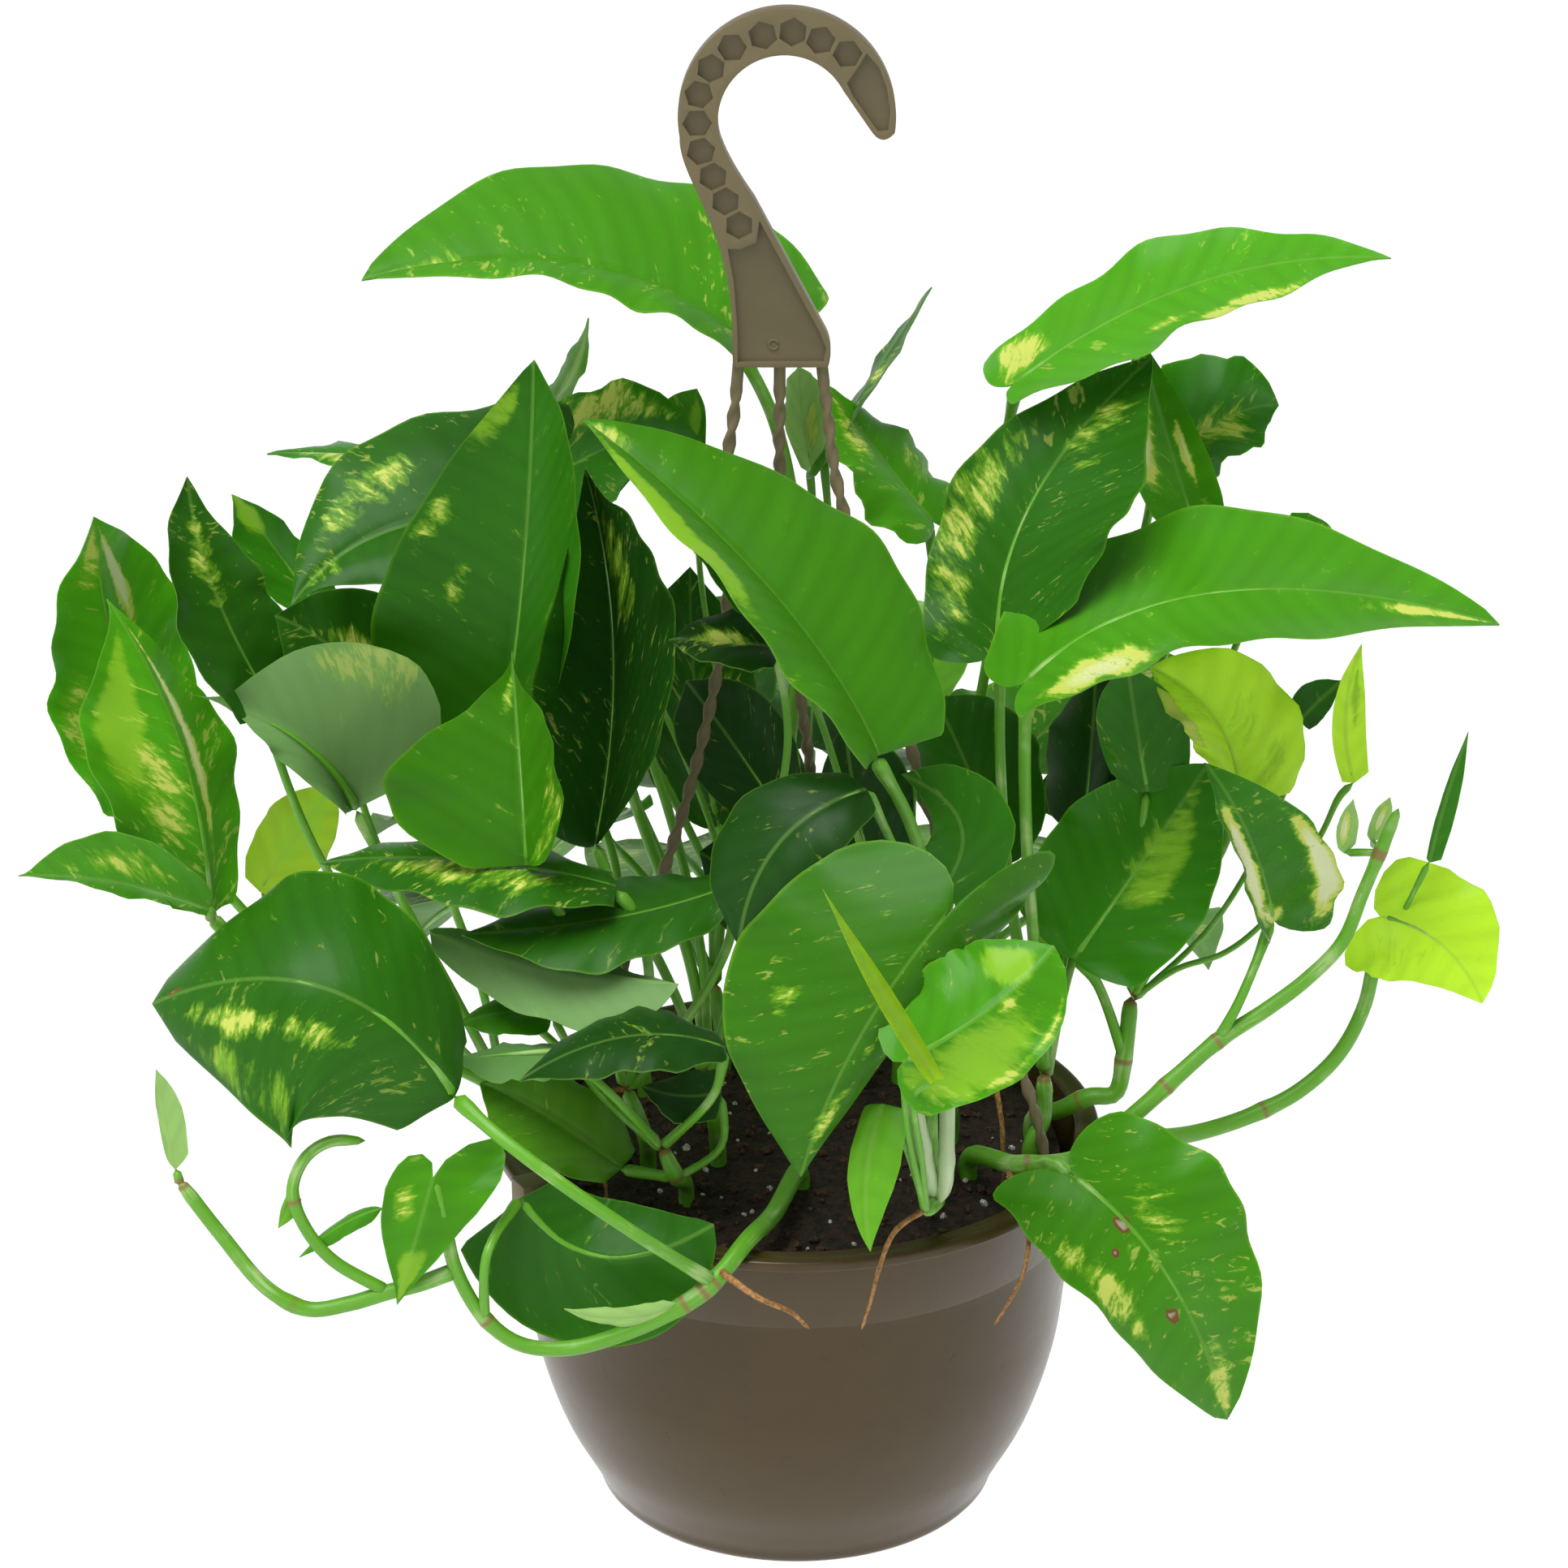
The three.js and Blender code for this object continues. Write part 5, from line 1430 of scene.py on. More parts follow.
        ("B", -1, (0.04, 0.95, 0.5), (75, 55, -119), (134, 60, -87), (195, 50, -76), (102, 90, -90),
         (115, 25, -101), (62, 70, -261), (73, 76, -190), (73, 68, -148)),
        ("C", -1, (0.1,), (12, 60, -145), (33, 65, -113), (48, 70, -91), (25, 80, -128),
         (27, 50, -123), (34, 60, -257), (17, 62, -185)),
        ("D", -1, (0.1,), (49, 54, -166), (32, 56, -145), (13, 58, -120), (50, 76, -154),
         (26, 34, -155), (44, 50, -253), (50, 52, -199)),
        ("IB", -1, (0.1,), (33, 15, -289), (25, 22, -260), (20, 30, -228), (12, 18, -264),
         (43, 30, -253), (37, 24, -317)),
    )),
)


@dataclass
class LeafyStem:
    """One stem out of the soil, with its side shoots, stalks and leaves."""

    name: str
    runs: list[tuple[float, list[Vector]]]
    leaves: list[Leaf]
    tone: Tone = Tone.LEAFY
    pitch: float = 2.2
    sides: int = 14
    joint_reach: float = 6.0
    long_run: float = 90.0
    joint_wide: float = 3.2
    joint_swell: float = 0.13
    most_swell: float = 1.4
    scar_wide: float = 1.6
    scar_strength: float = 0.8
    thinning: float = 0.0018
    slimmest: float = 0.55
    end_length: float = 14.0
    oval: float = 0.04

    def _run_tube(
        self, mould: Mould, radius: float, points: list[Vector], feet: list[Vector]
    ) -> None:
        """Adds one run of stem, swollen and scarred where leaves leave it.

        Args:
            mould: The mesh it goes into.
            radius: Its radius at the foot.
            points: The points that it goes through.
            feet: Where the stalks of the stem start.
        """
        route = Route(points, self.pitch)
        places = [(route.nearest(foot), foot) for foot in feet]
        rings = [at for at, foot in places if (route.at(at) - foot).length < self.joint_reach]
        if route.length > self.long_run:
            rings.append(route.length * 0.5)

        def girth(distance: float, angle: float) -> float:
            """Stem radius: thick at the foot, fine at the growing end, ringed at the joints.

            Args:
                distance: The distance along the run.
                angle: The angle round it.

            Returns:
                The radius there.
            """
            swell = sum(bell(distance - ring, self.joint_wide) for ring in rings)
            end = min(1.0, (route.length - distance) / self.end_length + self.slimmest)
            end *= max(self.slimmest, 1 - self.thinning * distance)
            size = radius * (1 + self.joint_swell * min(swell, self.most_swell)) * end
            return size * (1 - self.oval * cos(2 * angle))

        def scar(distance: float) -> float:
            """Brown rings round the joints."""
            brown = (bell(distance - ring, self.scar_wide) for ring in rings)
            return self.scar_strength * max(brown, default=0.0)

        mould.tube(route, girth, self.sides, srgb(self.tone.value), scar)

    def build(self, finishes: Finishes) -> None:
        """Builds the stem's two pieces, its leaves and its stems and stalks.

        Args:
            finishes: The finishes.
        """
        blades, stems = Mould(), Mould()
        feet = [leaf.stalk[0] for leaf in self.leaves]
        for k, (radius, points) in enumerate(self.runs):
            self._run_tube(stems, radius, points if k else rooted(points), feet)
        for leaf in self.leaves:
            leaf.blade(blades)
            leaf.stalk_on(stems, self.tone)
        blades = blades.finish(f"{self.name}_leaves", finishes.blade)
        stems = stems.finish(f"{self.name}_stems", finishes.stem)
        settle(blades, "foliage", self.name)
        settle(stems, "foliage", self.name)


def rooted(points: list[Vector]) -> list[Vector]:
    """The same points, standing upright in the soil first."""
    heights = (SOIL_TOP - STEM_DEPTH, SOIL_TOP - STEM_DEPTH / 3, SOIL_TOP + 5)
    return [Vector((*points[0][:2], z)) for z in heights] + points[1:]


def stem_from(name: str, runs: Sequence[Any], rows: Sequence[Any]) -> LeafyStem:
    """Reads one stem of the table.

    Stalks that leave together start a little below one another.

    Args:
        name: The stem's name.
        runs: Each run's radius and points.
        rows: Each leaf's name, the number of the run's point or the point that its stalk starts
            from, its shape as far as it isn't plain, its base, rib, tip and margins, and the bends
            of its stalk.

    Returns:
        The stem.
    """
    paths = [(radius, [vec(p) for p in points]) for radius, points in runs]
    spots = [point for _, points in paths for point in points]
    leaves = []
    for k, (title, foot, shape, *points) in enumerate(rows):
        start = spots[foot] if isinstance(foot, int) else vec(foot)
        five, bends = [vec(p) for p in points[:5]], [vec(p) for p in points[5:]]
        whole = (*shape, *PLAIN_SHAPE[len(shape) :])
        leaves.append(Leaf(title, *five, whole, [start + STALK_STEP * k, *bends], LOOKS[title]))
    return LeafyStem(name, paths, leaves)


@dataclass(frozen=True)
class FarSide:
    """The stems of the far side: a ring of them by one rule with a seeded draw.

    A pair holds the value of the lowest leaf and of the highest, and a stray is how much a draw
    adds to it at most.
    """

    seed: int = 7
    azimuths: tuple[int, ...] = (48, 81, 114, 147)
    foot: float = 62
    run_radius: float = 2.8
    rise: tuple[tuple[float, float], ...] = ((0, SOIL_TOP), (3, -352), (8, -338))
    leaves: int = 5
    turn: float = 5
    turn_stray: float = 4
    reach: tuple[float, float] = (150, 100)
    reach_stray: float = 8
    height: tuple[float, float] = (-322, -255)
    height_stray: float = 8
    droop: tuple[float, float] = (-55, 5)
    droop_stray: float = 10
    length: float = 68
    length_stray: float = 12
    half_width: float = 0.39
    arch: tuple[float, float] = (0.1, 0.17)
    stalk_lift: float = 10
    shape: tuple[float, ...] = (0.1, *PLAIN_SHAPE[1:])
    tones: tuple[Tone, ...] = (Tone.FRESH, Tone.MID, Tone.DEEP, Tone.LEAFY)

    @staticmethod
    def _draws(seed: int) -> Iterator[float]:
        """Draws plain numbers from 0 to 1, the same on every run.

        Args:
            seed: What they start from.

        Returns:
            The endless draw.
        """
        state = seed
        while True:
            state = (state * 1664525 + 1013904223) % 2**32
            yield state / 2**32

    @staticmethod
    def _polar(radius: float, degrees: float, z: float) -> Vector:
        """A point about the pot's axis."""
        angle = radians(degrees)
        return Vector((POT_X + radius * cos(angle), radius * sin(angle), z))

    def _leaf(
        self, stem: int, k: int, azimuth: float, fork: Vector, draw: Iterator[float]
    ) -> Leaf:
        """Places one leaf of the ring: low ones far out and drooping, high ones close and level.

        Args:
            stem: The stem's number.
            k: The leaf's number, from the lowest.
            azimuth: The stem's azimuth in degrees.
            fork: Where its stalk starts.
            draw: The seeded draw.

        Returns:
            The leaf.
        """
        level = k / (self.leaves - 1)
        heading = azimuth + (1 if k % 2 else -1) * (self.turn + self.turn_stray * next(draw))
        radius = lerp(*self.reach, level) + self.reach_stray * next(draw)
        z = lerp(*self.height, level) + self.height_stray * next(draw)
        droop = radians(lerp(*self.droop, level) + self.droop_stray * next(draw))
        length = self.length + self.length_stray * next(draw)

        def rib(share: float, lift: float) -> Vector:
            """A point along the leaf, lifted off its straight line."""
            out, up = share * length * cos(droop), share * length * sin(droop)
            return self._polar(radius + out, heading, z + up + lift * length)

        turned = radians(heading)
        aside = Vector((-sin(turned), cos(turned), 0)) * (self.half_width * length)
        widest = rib(WIDEST, self.arch[1])
        half_way = ((radius + self.foot) / 2, heading, (z + fork.z) / 2 + self.stalk_lift)
        stalk = [fork + STALK_STEP * k, self._polar(*half_way)]
        tone = self.tones[(3 * stem + k) % len(self.tones)]
        flecks = 0.35 + 0.5 * ((2 * k + stem) % 3) / 2
        look = Look(tone, flecks, FAR_MARKS[(k + stem) % len(FAR_MARKS)])
        points = (rib(0, 0), rib(0.5, self.arch[0]), rib(1, 0), widest + aside, widest - aside)
        return Leaf(f"far_{stem}_{k}", *points, self.shape, stalk, look)

    def stems(self) -> list[LeafyStem]:
        """Places the stems of the far side.

        Returns:
            The stems with their leaves.
        """
        draw = self._draws(self.seed)
        made = []
        for stem, azimuth in enumerate(self.azimuths):
            run = [self._polar(self.foot + out, azimuth, z) for out, z in self.rise]
            leaves = [self._leaf(stem, k, azimuth, run[-1], draw) for k in range(self.leaves)]
            made.append(LeafyStem(f"stem_far_{stem + 1}", [(self.run_radius, run)], leaves))
        return made


# ---- pot, soil and what lies on it ---------------------------------------------------------------
def spun(profile: Sequence[Point], steps: int) -> Mould:
    """A closed solid of revolution about the pot's axis.

    Args:
        profile: Radius and height of each point, from the axis back to the axis.
        steps: How many steps go round it.

    Returns:
        The mesh, still open for changes.
    """
    mould = Mould()
    verts = [mould.bm.verts.new((radius, 0, height)) for radius, height in profile]
    edges = [mould.bm.edges.new(pair) for pair in zip(verts, verts[1:])]
    axis = {"cent": (0, 0, 0), "axis": (0, 0, 1), "dvec": (0, 0, 0)}
    spin = {"angle": 2 * pi, "steps": steps, "use_merge": True, "use_duplicate": False}
    bmesh.ops.spin(mould.bm, geom=verts + edges, **axis, **spin)
    mould.close(list(mould.bm.verts))
    bmesh.ops.translate(mould.bm, vec=(POT_X, 0, RIM_TOP), verts=mould.bm.verts)
    return mould


def softened(profile: Sequence[Point], pitch: float, sharp: Iterable[int]) -> list[Pair]:
    """A profile with smooth runs between its sharp corners.

    Args:
        profile: Its points.
        pitch: The distance between new points.
        sharp: The corners that stay sharp.

    Returns:
        The finer profile.
    """
    stops = sorted({0, len(profile) - 1, *sharp})
    made = [tuple(profile[0])]
    for start, end in zip(stops, stops[1:]):
        route = Route([(r, 0, z) for r, z in profile[start : end + 1]], pitch)
        made += [(p.x, p.z) for p in route.points[1:]]
    return made


@dataclass
class Pot:
    """The moulded pot: a flanged rim, a straight band with a step under it, and a bowl.

    A section holds points as radius and height, with the height from the rim's top.
    """

    wall: float = 2.4
    outside: tuple[Pair, ...] = (
        (93.6, -28), (91.3, -55.5), (89.1, -74), (84.4, -92.5), (79.2, -106.4), (72.9, -118.4),
        (69.1, -125.8), (67.7, -130.5),
    )
    lip: tuple[Pair, ...] = (
        (93.75, -27.2), (94.25, -26.6), (95.6, -5.2), (95.9, -4.3), (96.6, -3.9), (101.0, -3.6),
        (101.5, -3.2), (101.6, -2.6), (101.6, -0.9), (101.3, -0.3), (100.7, 0), (98.4, 0.0),
        (97.6, -0.25), (94.6, -0.25), (93.9, 0.0), (93.5, -0.3), (93.2, -1),
    )
    foot_ring: tuple[Pair, ...] = ((0, 1.0), (58.5, 1.0), (59.5, 0.15), (60.2, 0))
    pitch: float = 2.5
    knee: int = 6
    steps: int = 160
    drains: int = 5
    drain_radius: float = 3.5
    drain_circle: float = 42.0
    drill_length: float = 12.0

    def profile(self) -> list[Pair]:
        """Draws the whole section.

        Returns:
            Its points, from the middle of the foot round to the middle of the floor.
        """
        foot = self.outside[-1][1]
        floor = foot + self.wall
        bowl = softened(self.outside, self.pitch, (self.knee,))
        under = [(r, foot + rise) for r, rise in self.foot_ring]
        under.append((bowl[-1][0] - 0.6, foot))
        inner = [(r - self.wall, z) for r, z in bowl if z > foot + 4]
        inner[-1] = (inner[-1][0] - 1.5, floor + 1.2)
        middle = [(inner[-1][0] - 2.5, floor), (0, floor)]
        return [*under, *bowl[-2::-1], *self.lip, *inner, *middle]

    def build(self, finishes: Finishes) -> None:
        """Builds the pot with its drain holes.

        Args:
            finishes: The finishes.
        """
        made = spun(self.profile(), self.steps).finish("hanging_pot", finishes.pot)
        drill = Mould()
        foot = RIM_TOP + self.outside[-1][1]
        bit = {"radius1": self.drain_radius, "radius2": self.drain_radius, "depth": self.drill_length}
        for angle in ring_angles(self.drains):
            x, y = self.drain_circle * cos(angle), self.drain_circle * sin(angle)
            post = bmesh.ops.create_cone(drill.bm, cap_ends=True, segments=24, **bit)["verts"]
            bmesh.ops.translate(drill.bm, vec=(POT_X + x, y, foot), verts=post)
        cut_away(made, drill.finish("drill", finishes.pot))
        settle(made, "pot_plastic", "pot")


@dataclass
class Soil:
    """The potting mix: a lumpy mound, with perlite and bark lying on it."""

    wall: tuple[Pair, ...] = (
        (0, -127.5), (64.0, -127.5), (71, -115), (80.5, -95), (86.6, -74), (88.2, -28), (88.9, -20),
        (88.9, SOIL_EDGE - 1.5),
    )
    top_radius: float = 88.4
    rings: int = 44
    steps: int = 150
    mound_radius: float = 88.0
    perlite: tuple[int, float, float, int] = (130, 0.7, 1.9, 3)
    bark: tuple[int, float, float, int] = (420, 0.9, 2.8, 5)
    scatter_radius: float = 86.0

    def level(self, x: float, y: float) -> float:
        """Height of the mound below the rim.

        Args:
            x: The point's place about the pot's axis, to the right.
            y: The same, to the back.

        Returns:
            The height.
        """
        crown = max(0.0, 1 - (hypot(x, y) / self.mound_radius) ** 2)
        swell = SOIL_EDGE + (SOIL_MOUND - SOIL_EDGE) * crown
        lumps = noise.noise(Vector((x, y, 0)) / 9) * 1.3 + noise.noise(Vector((x, y, 7)) / 3) * 0.8
        return swell + lumps

    def build(self, finishes: Finishes) -> None:
        """Builds the soil and the bits on it.

        Args:
            finishes: The finishes.
        """
        shares = [1 - k / self.rings for k in range(self.rings + 1)]
        top = [(self.top_radius * share, SOIL_EDGE) for share in shares]
        mould = spun([*self.wall, *top], self.steps)
        for vert in mould.bm.verts:
            if vert.co.z > RIM_TOP + SOIL_EDGE - 1:
                vert.co.z = RIM_TOP + self.level(vert.co.x - POT_X, vert.co.y)
        settle(mould.finish("potting_mix", finishes.earth), "soil", "soil")
        self._scatter("perlite", finishes.perlite, *self.perlite)
        self._scatter("bark", finishes.bark, *self.bark)

    def _scatter(
        self, name: str, finish: Material, count: int, low: float, high: float, seed: int
    ) -> None:
        """Scatters small lumps over the mound.

        Args:
            name: The piece's name.
            finish: Their finish.
            count: How many there are.
            low: Their smallest radius.
            high: Their largest radius.
            seed: The seed of the draw.
        """
        rng = random.Random(seed)
        mould = Mould()
        for _ in range(count):
            radius = self.scatter_radius * sqrt(rng.random())
            angle = 2 * pi * rng.random()
            x, y = radius * cos(angle), radius * sin(angle)
            size = lerp(low, high, rng.random() ** 2)
            made = bmesh.ops.create_icosphere(mould.bm, subdivisions=1, radius=size)["verts"]
            squash = (rng.uniform(0.7, 1.2), rng.uniform(0.6, 1.1), rng.uniform(0.45, 0.9))
            axis = [rng.random() - 0.5 for _ in range(3)]
            turn = Quaternion(axis, 6 * rng.random())
            spot = Vector((POT_X + x, y, RIM_TOP + self.level(x, y) + 0.25 * size))
            for vert in made:
                lump = Vector([c * s for c, s in zip(vert.co, squash)])
                vert.co = spot + turn @ (lump * rng.uniform(0.85, 1.15))
        settle(mould.finish(name, finish), "soil")


# ---- hanger --------------------------------------------------------------------------------------
def bezier(count: int, *ends: Pair) -> list[Pair]:
    """Draws a Bezier curve.

    Args:
        count: How many points it gets after its first.
        ends: Its first point, the ones that pull it, and its last point.

    Returns:
        Its points after the first.
    """
    made = []
    for k in range(1, count + 1):
        left = list(ends)
        while len(left) > 1:
            pairs = zip(left, left[1:])
            left = [tuple(lerp(p, q, k / count) for p, q in zip(a, b)) for a, b in pairs]
        made.append(left[0])
    return made


@dataclass
class Hanger:
    """The one-piece moulded hanger: a flat hook with hexagon pockets, strands and rim clips.

    An outline holds points as x and z. A strand is its clip's azimuth and its points.
    """

    thick: float = 7.0
    pocket: float = 2.2
    cell_radius: float = 4.5
    foot: float = -97.5
    gate: Pair = (-3.4, -90.7)
    gate_radius: float = 1.5
    gate_wire: float = 0.38
    cells: tuple[Pair, ...] = (
        (19.1, 0.4), (11, 4.5), (2.6, 7), (-6.5, 6), (-15.8, 2.3), (-22.2, -4), (-25.9, -12),
        (-26.5, -20.8), (-25.4, -29.5), (-21.8, -37.3), (-18, -45), (-13.8, -52.5),
    )
    plate_pocket: tuple[Pair, ...] = (
        (-17.4, -59.8), (-15.6, -70), (-14.6, -84), (-14.5, -95.9), (12.2, -95.9), (13, -91.4),
        (11, -86.2), (-7.6, -51), (-8.6, -57.8), (-13.4, -59.8),
    )
    tip_pocket: tuple[Pair, ...] = (
        (24.9, 0.6), (21.4, -5), (19, -8.4), (20.6, -12), (28.6, -23.4), (31.6, -23.2), (32.2, -17),
        (31, -9.5), (28.6, -3.6),
    )
    strand_radius: float = 1.8
    twist_pitch: float = 9.0
    strands: tuple[tuple[int, tuple[Point, ...]], ...] = (
        (210, (
            (-14.2, 0, -96.4), (-15.6, 0, -112), (-18, 0, -130), (-19, 3, -184), (-38, -8, -262),
            (-71, -33, -333),
        )),
        (330, (
            (11.6, 0, -96.4), (13.4, -1, -112), (16.4, -4, -134), (32, -16, -190), (57, -31, -270),
            (81, -44, -335),
        )),
        (90, (
            (-1.4, 0, -96.4), (-1.5, 2, -112), (-1.5, 6, -130), (2, 18, -190), (9, 36, -255),
            (6, 88, -338),
        )),
    )
    clip_width: float = 9.0
    clip_thick: float = 2.4
    clip_inside: float = 89.0
    clip_lip: float = 4.0
    clip_hold: float = 97.2

    def outline(self) -> list[Pair]:
        """Draws the hook's outline.

        Returns:
            Its points as x and z, from the tip over the crook and back.
        """

        def arc(x: float, z: float, radius: float, start: float, end: float, count: int) -> list[Pair]:
            """Points of an arc, with its angles in degrees."""
            angles = [radians(lerp(start, end, k / count)) for k in range(count + 1)]
            return [(x + radius * cos(a), z + radius * sin(a)) for a in angles]

        points = arc(0.8, -19.1, 33.2, -8, 190, 66)
        points += bezier(24, points[-1], (-32.4, -38), (-16.8, -52), (-16.2, -84))
        points += [(-16, self.foot), (13.6, self.foot)]
        points += bezier(6, points[-1], (15.6, -91), (12.8, -86))
        points += [(-9.1, -44.5)]
        points += bezier(8, points[-1], (-16.5, -34), (-19.2, -26.4))
        points += arc(0, -20.2, 20.2, 198, 28, 54)
        points += [(26.9, -23.8)]
        points += bezier(6, points[-1], (30.1, -28), (33.7, -23.7))
        return points

    @staticmethod
    def _slab(mould: Mould, outline: Sequence[Pair], front: float, back: float) -> None:
        """Adds a flat piece.

        Args:
            mould: The mesh it goes into.
            outline: Its outline in x and z.
            front: Its front face's y.
            back: Its back face's y.
        """
        face = mould.bm.faces.new([mould.bm.verts.new((x, front, z)) for x, z in outline])
        grown = bmesh.ops.extrude_face_region(mould.bm, geom=[face], use_keep_orig=True)["geom"]
        moved = [part for part in grown if isinstance(part, BMVert)]
        bmesh.ops.translate(mould.bm, vec=(0, back - front, 0), verts=moved)
        sides = {part for vert in moved for part in vert.link_faces}
        bmesh.ops.recalc_face_normals(mould.bm, faces=list(sides | {face}))

    def _cell(self, k: int) -> list[Pair]:
        """Draws a hexagon pocket with its flats towards its neighbours.

        Args:
            k: Its number, from the tip.

        Returns:
            Its outline.
        """
        x, z = self.cells[k]
        before, after = self.cells[max(k - 1, 0)], self.cells[min(k + 1, len(self.cells) - 1)]
        start = atan2(after[1] - before[1], after[0] - before[0]) + pi / 6
        angles = [start + pi * corner / 3 for corner in range(6)]
        size = self.cell_radius
        return [(x + size * cos(angle), z + size * sin(angle)) for angle in angles]

    def _hook(self, finishes: Finishes) -> None:
        """Builds the flat hook with its pockets.

        Args:
            finishes: The finishes.
        """
        plate, cutter = Mould(), Mould()
        half = self.thick / 2
        self._slab(plate, self.outline(), -half, half)
        for shape in (*map(self._cell, range(len(self.cells))), self.plate_pocket, self.tip_pocket):
            self._slab(cutter, shape, -half - 1, -half + self.pocket)
            self._slab(cutter, shape, half - self.pocket, half + 1)
        made = plate.finish("hook", finishes.hook)
        cut_away(made, cutter.finish("pockets", finishes.hook))
        eased(made, 0.35, 2, 32)
        settle(made, "hanger_plastic", "hanger")

    def _gate_mark(self, finishes: Finishes) -> None:
        """Builds the small ring that the mould's gate leaves on the plate.

        Args:
            finishes: The finishes.
        """
        mould = Mould()
        x, z = self.gate
        face = -self.thick / 2 + self.pocket - 0.1
        size = self.gate_radius
        ring = [(x + size * cos(a), face, z + size * sin(a)) for a in ring_angles(20)]
        mould.tube(Route([*ring, ring[0]], 0.5), lambda distance, angle: self.gate_wire, 8)
        settle(mould.finish("gate_mark", finishes.hanger), "hanger_plastic", "hanger")

    def _strands(self, finishes: Finishes) -> None:
        """Builds the strands, ribbed like a two-ply rope below their plain heads, and their clips.

        Args:
            finishes: The finishes.
        """
        ropes, clips = Mould(), Mould()
        hold, turn = self.clip_hold - 3, 2 * pi / self.twist_pitch
        for azimuth, route in self.strands:
            angle = radians(azimuth)
            end = (POT_X + hold * cos(angle), hold * sin(angle), RIM_TOP + 1.4)
            line = Route([*route, end], 0.9)

            def ply(distance: float, around: float, length: float = line.length) -> float:
                """Radius of two twisted plies, plain at both ends."""
                plies = min(1.0, max(0.0, (distance - 7) / 5), max(0.0, (length - distance) / 6))
                swell = 0.26 * cos(2 * around - turn * distance) - 0.1
                return self.strand_radius * (1.04 + plies * swell)

            ropes.tube(line, ply, 12)
            self._clip(clips, angle)
        settle(ropes.finish("hanger_strands", finishes.hanger), "hanger_plastic", "hanger")
        made = clips.finish("rim_clips", finishes.hanger)
        eased(made, 0.4, 3, 40)
        settle(made, "hanger_plastic", "hanger")

    def _clip(self, mould: Mould, angle: float) -> None:
        """Adds a clip that hooks over the rim and under its lip.

        Args:
            mould: The mesh it goes into.
            angle: Its place round the rim.
        """
        outside, under = RIM_RADIUS + GAP, -self.clip_lip - GAP
        inside, hold, thick = self.clip_inside, self.clip_hold, self.clip_thick
        section = [
            (inside, GAP), (outside, GAP), (outside, under), (hold, under), (hold, under - thick),
            (outside + thick, under - thick), (outside + thick, GAP + thick), (inside, GAP + thick),
        ]
        before = set(mould.bm.verts)
        self._slab(mould, section, -self.clip_width / 2, self.clip_width / 2)
        made = [vert for vert in mould.bm.verts if vert not in before]
        turn = Quaternion((0, 0, 1), angle).to_matrix()
        bmesh.ops.rotate(mould.bm, cent=(0, 0, 0), matrix=turn, verts=made)
        bmesh.ops.translate(mould.bm, vec=(POT_X, 0, RIM_TOP), verts=made)

    def build(self, finishes: Finishes) -> None:
        """Builds the hook, the gate mark, the strands and the clips.

        Args:
            finishes: The finishes.
        """
        self._hook(finishes)
        self._gate_mark(finishes)
        self._strands(finishes)


# ---- roots and cut stems -------------------------------------------------------------------------
@dataclass
class Roots:
    """Aerial roots that hang from the nodes, and the cut stems under the front leaves."""

    roots: tuple[tuple[float, tuple[Point, ...]], ...] = ROOTS
    stubs: tuple[tuple[float, tuple[Point, ...]], ...] = STUBS
    sheath: str = "b9cf9f"
    root_end: float = 0.45
    stub_share: float = 0.85

    def build(self, finishes: Finishes) -> None:
        """Builds the roots and the stubs.

        Args:
            finishes: The finishes.
        """
        mould = Mould()
        for radius, points in self.roots:
            line = Route(points, 1.6)

            def taper(distance: float, angle: float, size: float = radius, run: Route = line) -> float:
                """Root radius: thinner to its end, with small lumps."""
                lumps = 1 + 0.18 * noise.noise(Vector((distance / 3, size * 9, angle)))
                return size * lumps * (1 - (1 - self.root_end) * distance / run.length)

            mould.tube(line, taper, 8)
        settle(mould.finish("aerial_roots", finishes.root), "foliage")
        mould = Mould()
        for radius, points in self.stubs:
            line = Route(points, 2.0)

            def sheath(distance: float, angle: float, size: float = radius, run: Route = line) -> float:
                """Stub radius: a little flattened, with a collar half way."""
                collar = 0.18 * bell(distance - run.length * 0.6, 3)
                return self.stub_share * size * (1 + collar) * (1 - 0.12 * cos(2 * angle))

            def dry(distance: float, run: Route = line) -> float:
                """How brown the cut end is."""
                return 1.2 * bell(run.length - distance, 4)

            mould.tube(line, sheath, 14, srgb(self.sheath), dry)
        settle(mould.finish("cut_stems", finishes.stem), "foliage")


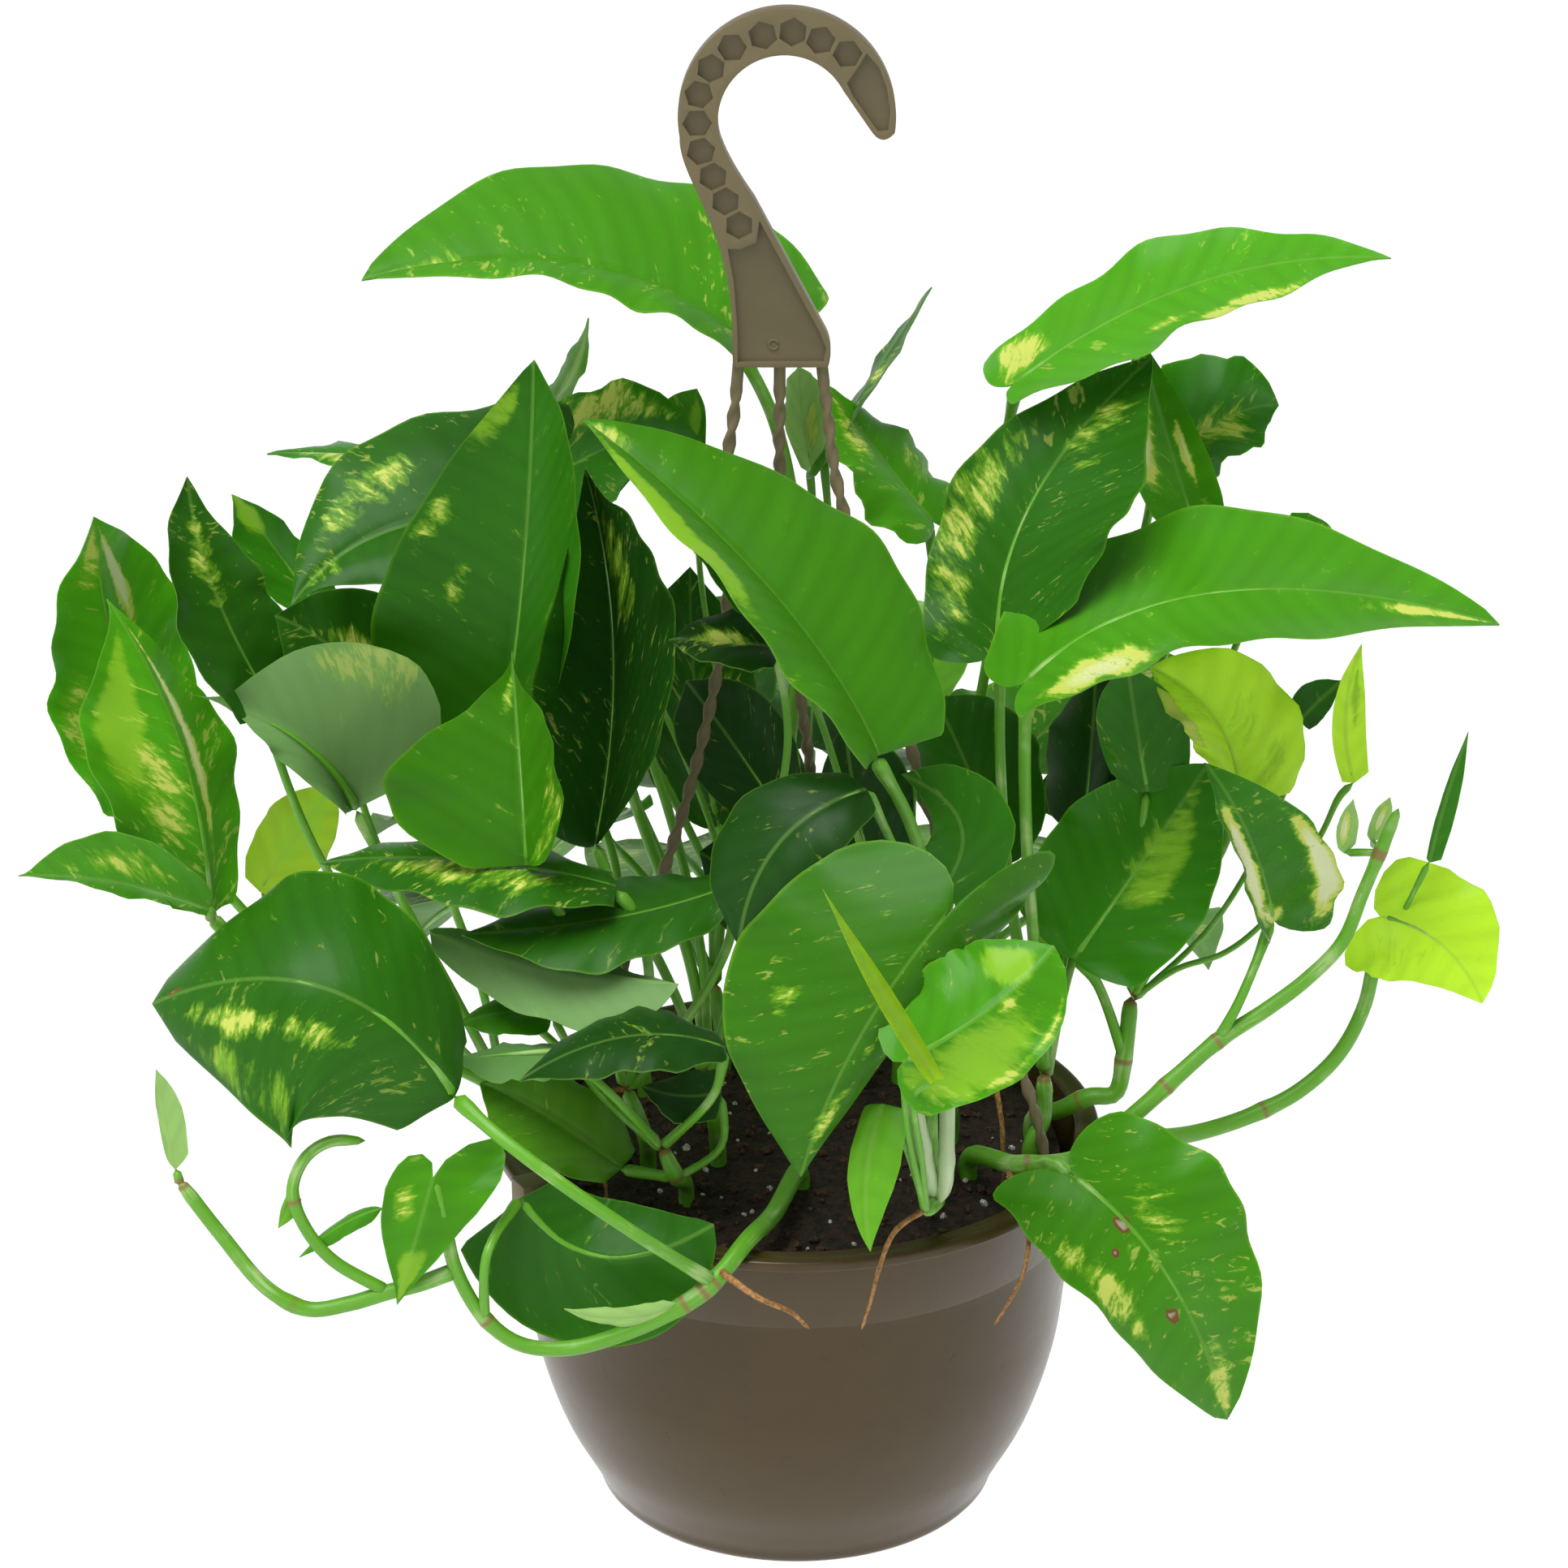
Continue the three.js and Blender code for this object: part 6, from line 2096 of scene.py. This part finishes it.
# ---- studio --------------------------------------------------------------------------------------
@dataclass
class Studio:
    """The floor, the soft lights and the camera at the photograph's viewing angle.

    Places and sizes are in metres, angles in degrees.
    """

    eye: tuple[float, float, float] = (-0.000086, -1.224, 0.2488)
    down: float = 21.7
    lens: float = 93.17
    sensor: float = 36.0
    floor_z: float = -0.95
    floor_radius: float = 9.0
    world: float = 0.34
    horizon: float = 0.85
    horizon_top: tuple[float, float] = (0.12, 0.34)
    sun: float = 2.8
    sun_spread: float = 46.0
    sun_way: tuple[float, float, float] = (0.24, 0.27, -1.0)
    key_place: tuple[float, float, float] = (-0.9, -1.2, 0.9)
    key_aim: tuple[float, float, float] = (0, 0, -0.28)
    key_size: float = 0.8
    key_watts: float = 3.0
    clip: Pair = (0.05, 40)

    def _floor(self, finishes: Finishes) -> None:
        """Makes the pale floor.

        Args:
            finishes: The finishes.
        """
        bm = bmesh.new()
        bmesh.ops.create_circle(bm, cap_ends=True, segments=96, radius=self.floor_radius)
        bmesh.ops.translate(bm, vec=(0, 0, self.floor_z), verts=bm.verts)
        mesh = bpy.data.meshes.new("studio_floor")
        bm.to_mesh(mesh)
        bm.free()
        mesh.materials.append(finishes.floor)
        floor = bpy.data.objects.new("studio_floor", mesh)
        bpy.context.scene.collection.objects.link(floor)

    def _surroundings(self) -> bpy.types.World:
        """Makes the plain surroundings, palest low down.

        Returns:
            The world.
        """
        world = bpy.data.worlds.new("studio_world")
        world.use_nodes = True
        tree = world.node_tree
        back = tree.nodes["Background"]
        way = tree.nodes.new("ShaderNodeTexCoord")
        parts = tree.nodes.new("ShaderNodeSeparateXYZ")
        level = tree.nodes.new("ShaderNodeMapRange")
        level.interpolation_type = "SMOOTHSTEP"
        for socket, value in zip(level.inputs[1:5], (*self.horizon_top, self.horizon, self.world)):
            socket.default_value = value
        tree.links.new(way.outputs["Generated"], parts.inputs[0])
        tree.links.new(parts.outputs[2], level.inputs[0])
        tree.links.new(level.outputs[0], back.inputs["Strength"])
        back.inputs["Color"].default_value = (1, 1, 1, 1)
        return world

    @staticmethod
    def _lamp(light: bpy.types.Light, way: Vector, place: Point = (0, 0, 0)) -> None:
        """Puts a light into the scene.

        Args:
            light: The light.
            way: The direction that it shines in.
            place: Where it stands.
        """
        lamp = bpy.data.objects.new(light.name, light)
        lamp.location = place
        lamp.rotation_euler = way.to_track_quat("-Z", "Y").to_euler()
        bpy.context.scene.collection.objects.link(lamp)

    def build(self, finishes: Finishes) -> None:
        """Builds the studio.

        Args:
            finishes: The finishes.
        """
        scene = bpy.context.scene
        self._floor(finishes)
        scene.world = self._surroundings()
        sky = bpy.data.lights.new("sky", "SUN")
        sky.energy, sky.angle = self.sun, radians(self.sun_spread)
        self._lamp(sky, Vector(self.sun_way))
        key = bpy.data.lights.new("key", "AREA")
        key.shape, key.size, key.energy = "SQUARE", self.key_size, self.key_watts
        self._lamp(key, Vector(self.key_aim) - Vector(self.key_place), self.key_place)
        lens = bpy.data.cameras.new("camera")
        lens.lens, lens.sensor_width, lens.sensor_fit = self.lens, self.sensor, "AUTO"
        lens.clip_start, lens.clip_end = self.clip
        camera = bpy.data.objects.new("camera", lens)
        camera.location = self.eye
        camera.rotation_euler = (radians(90 - self.down), 0, 0)
        scene.collection.objects.link(camera)
        scene.camera = camera
        scene.view_settings.view_transform = "Standard"


def main() -> None:
    """Builds the whole plant and its studio."""
    logging.basicConfig(level=logging.INFO, format="%(name)s: %(message)s", stream=sys.stdout)
    finishes = Finishes()
    Pot().build(finishes)
    Soil().build(finishes)
    Hanger().build(finishes)
    for stem in (*(stem_from(*plan) for plan in STEMS), *FarSide().stems()):
        stem.build(finishes)
    Roots().build(finishes)
    Studio().build(finishes)
    bpy.context.view_layer.update()


if __name__ == "__main__":
    main()
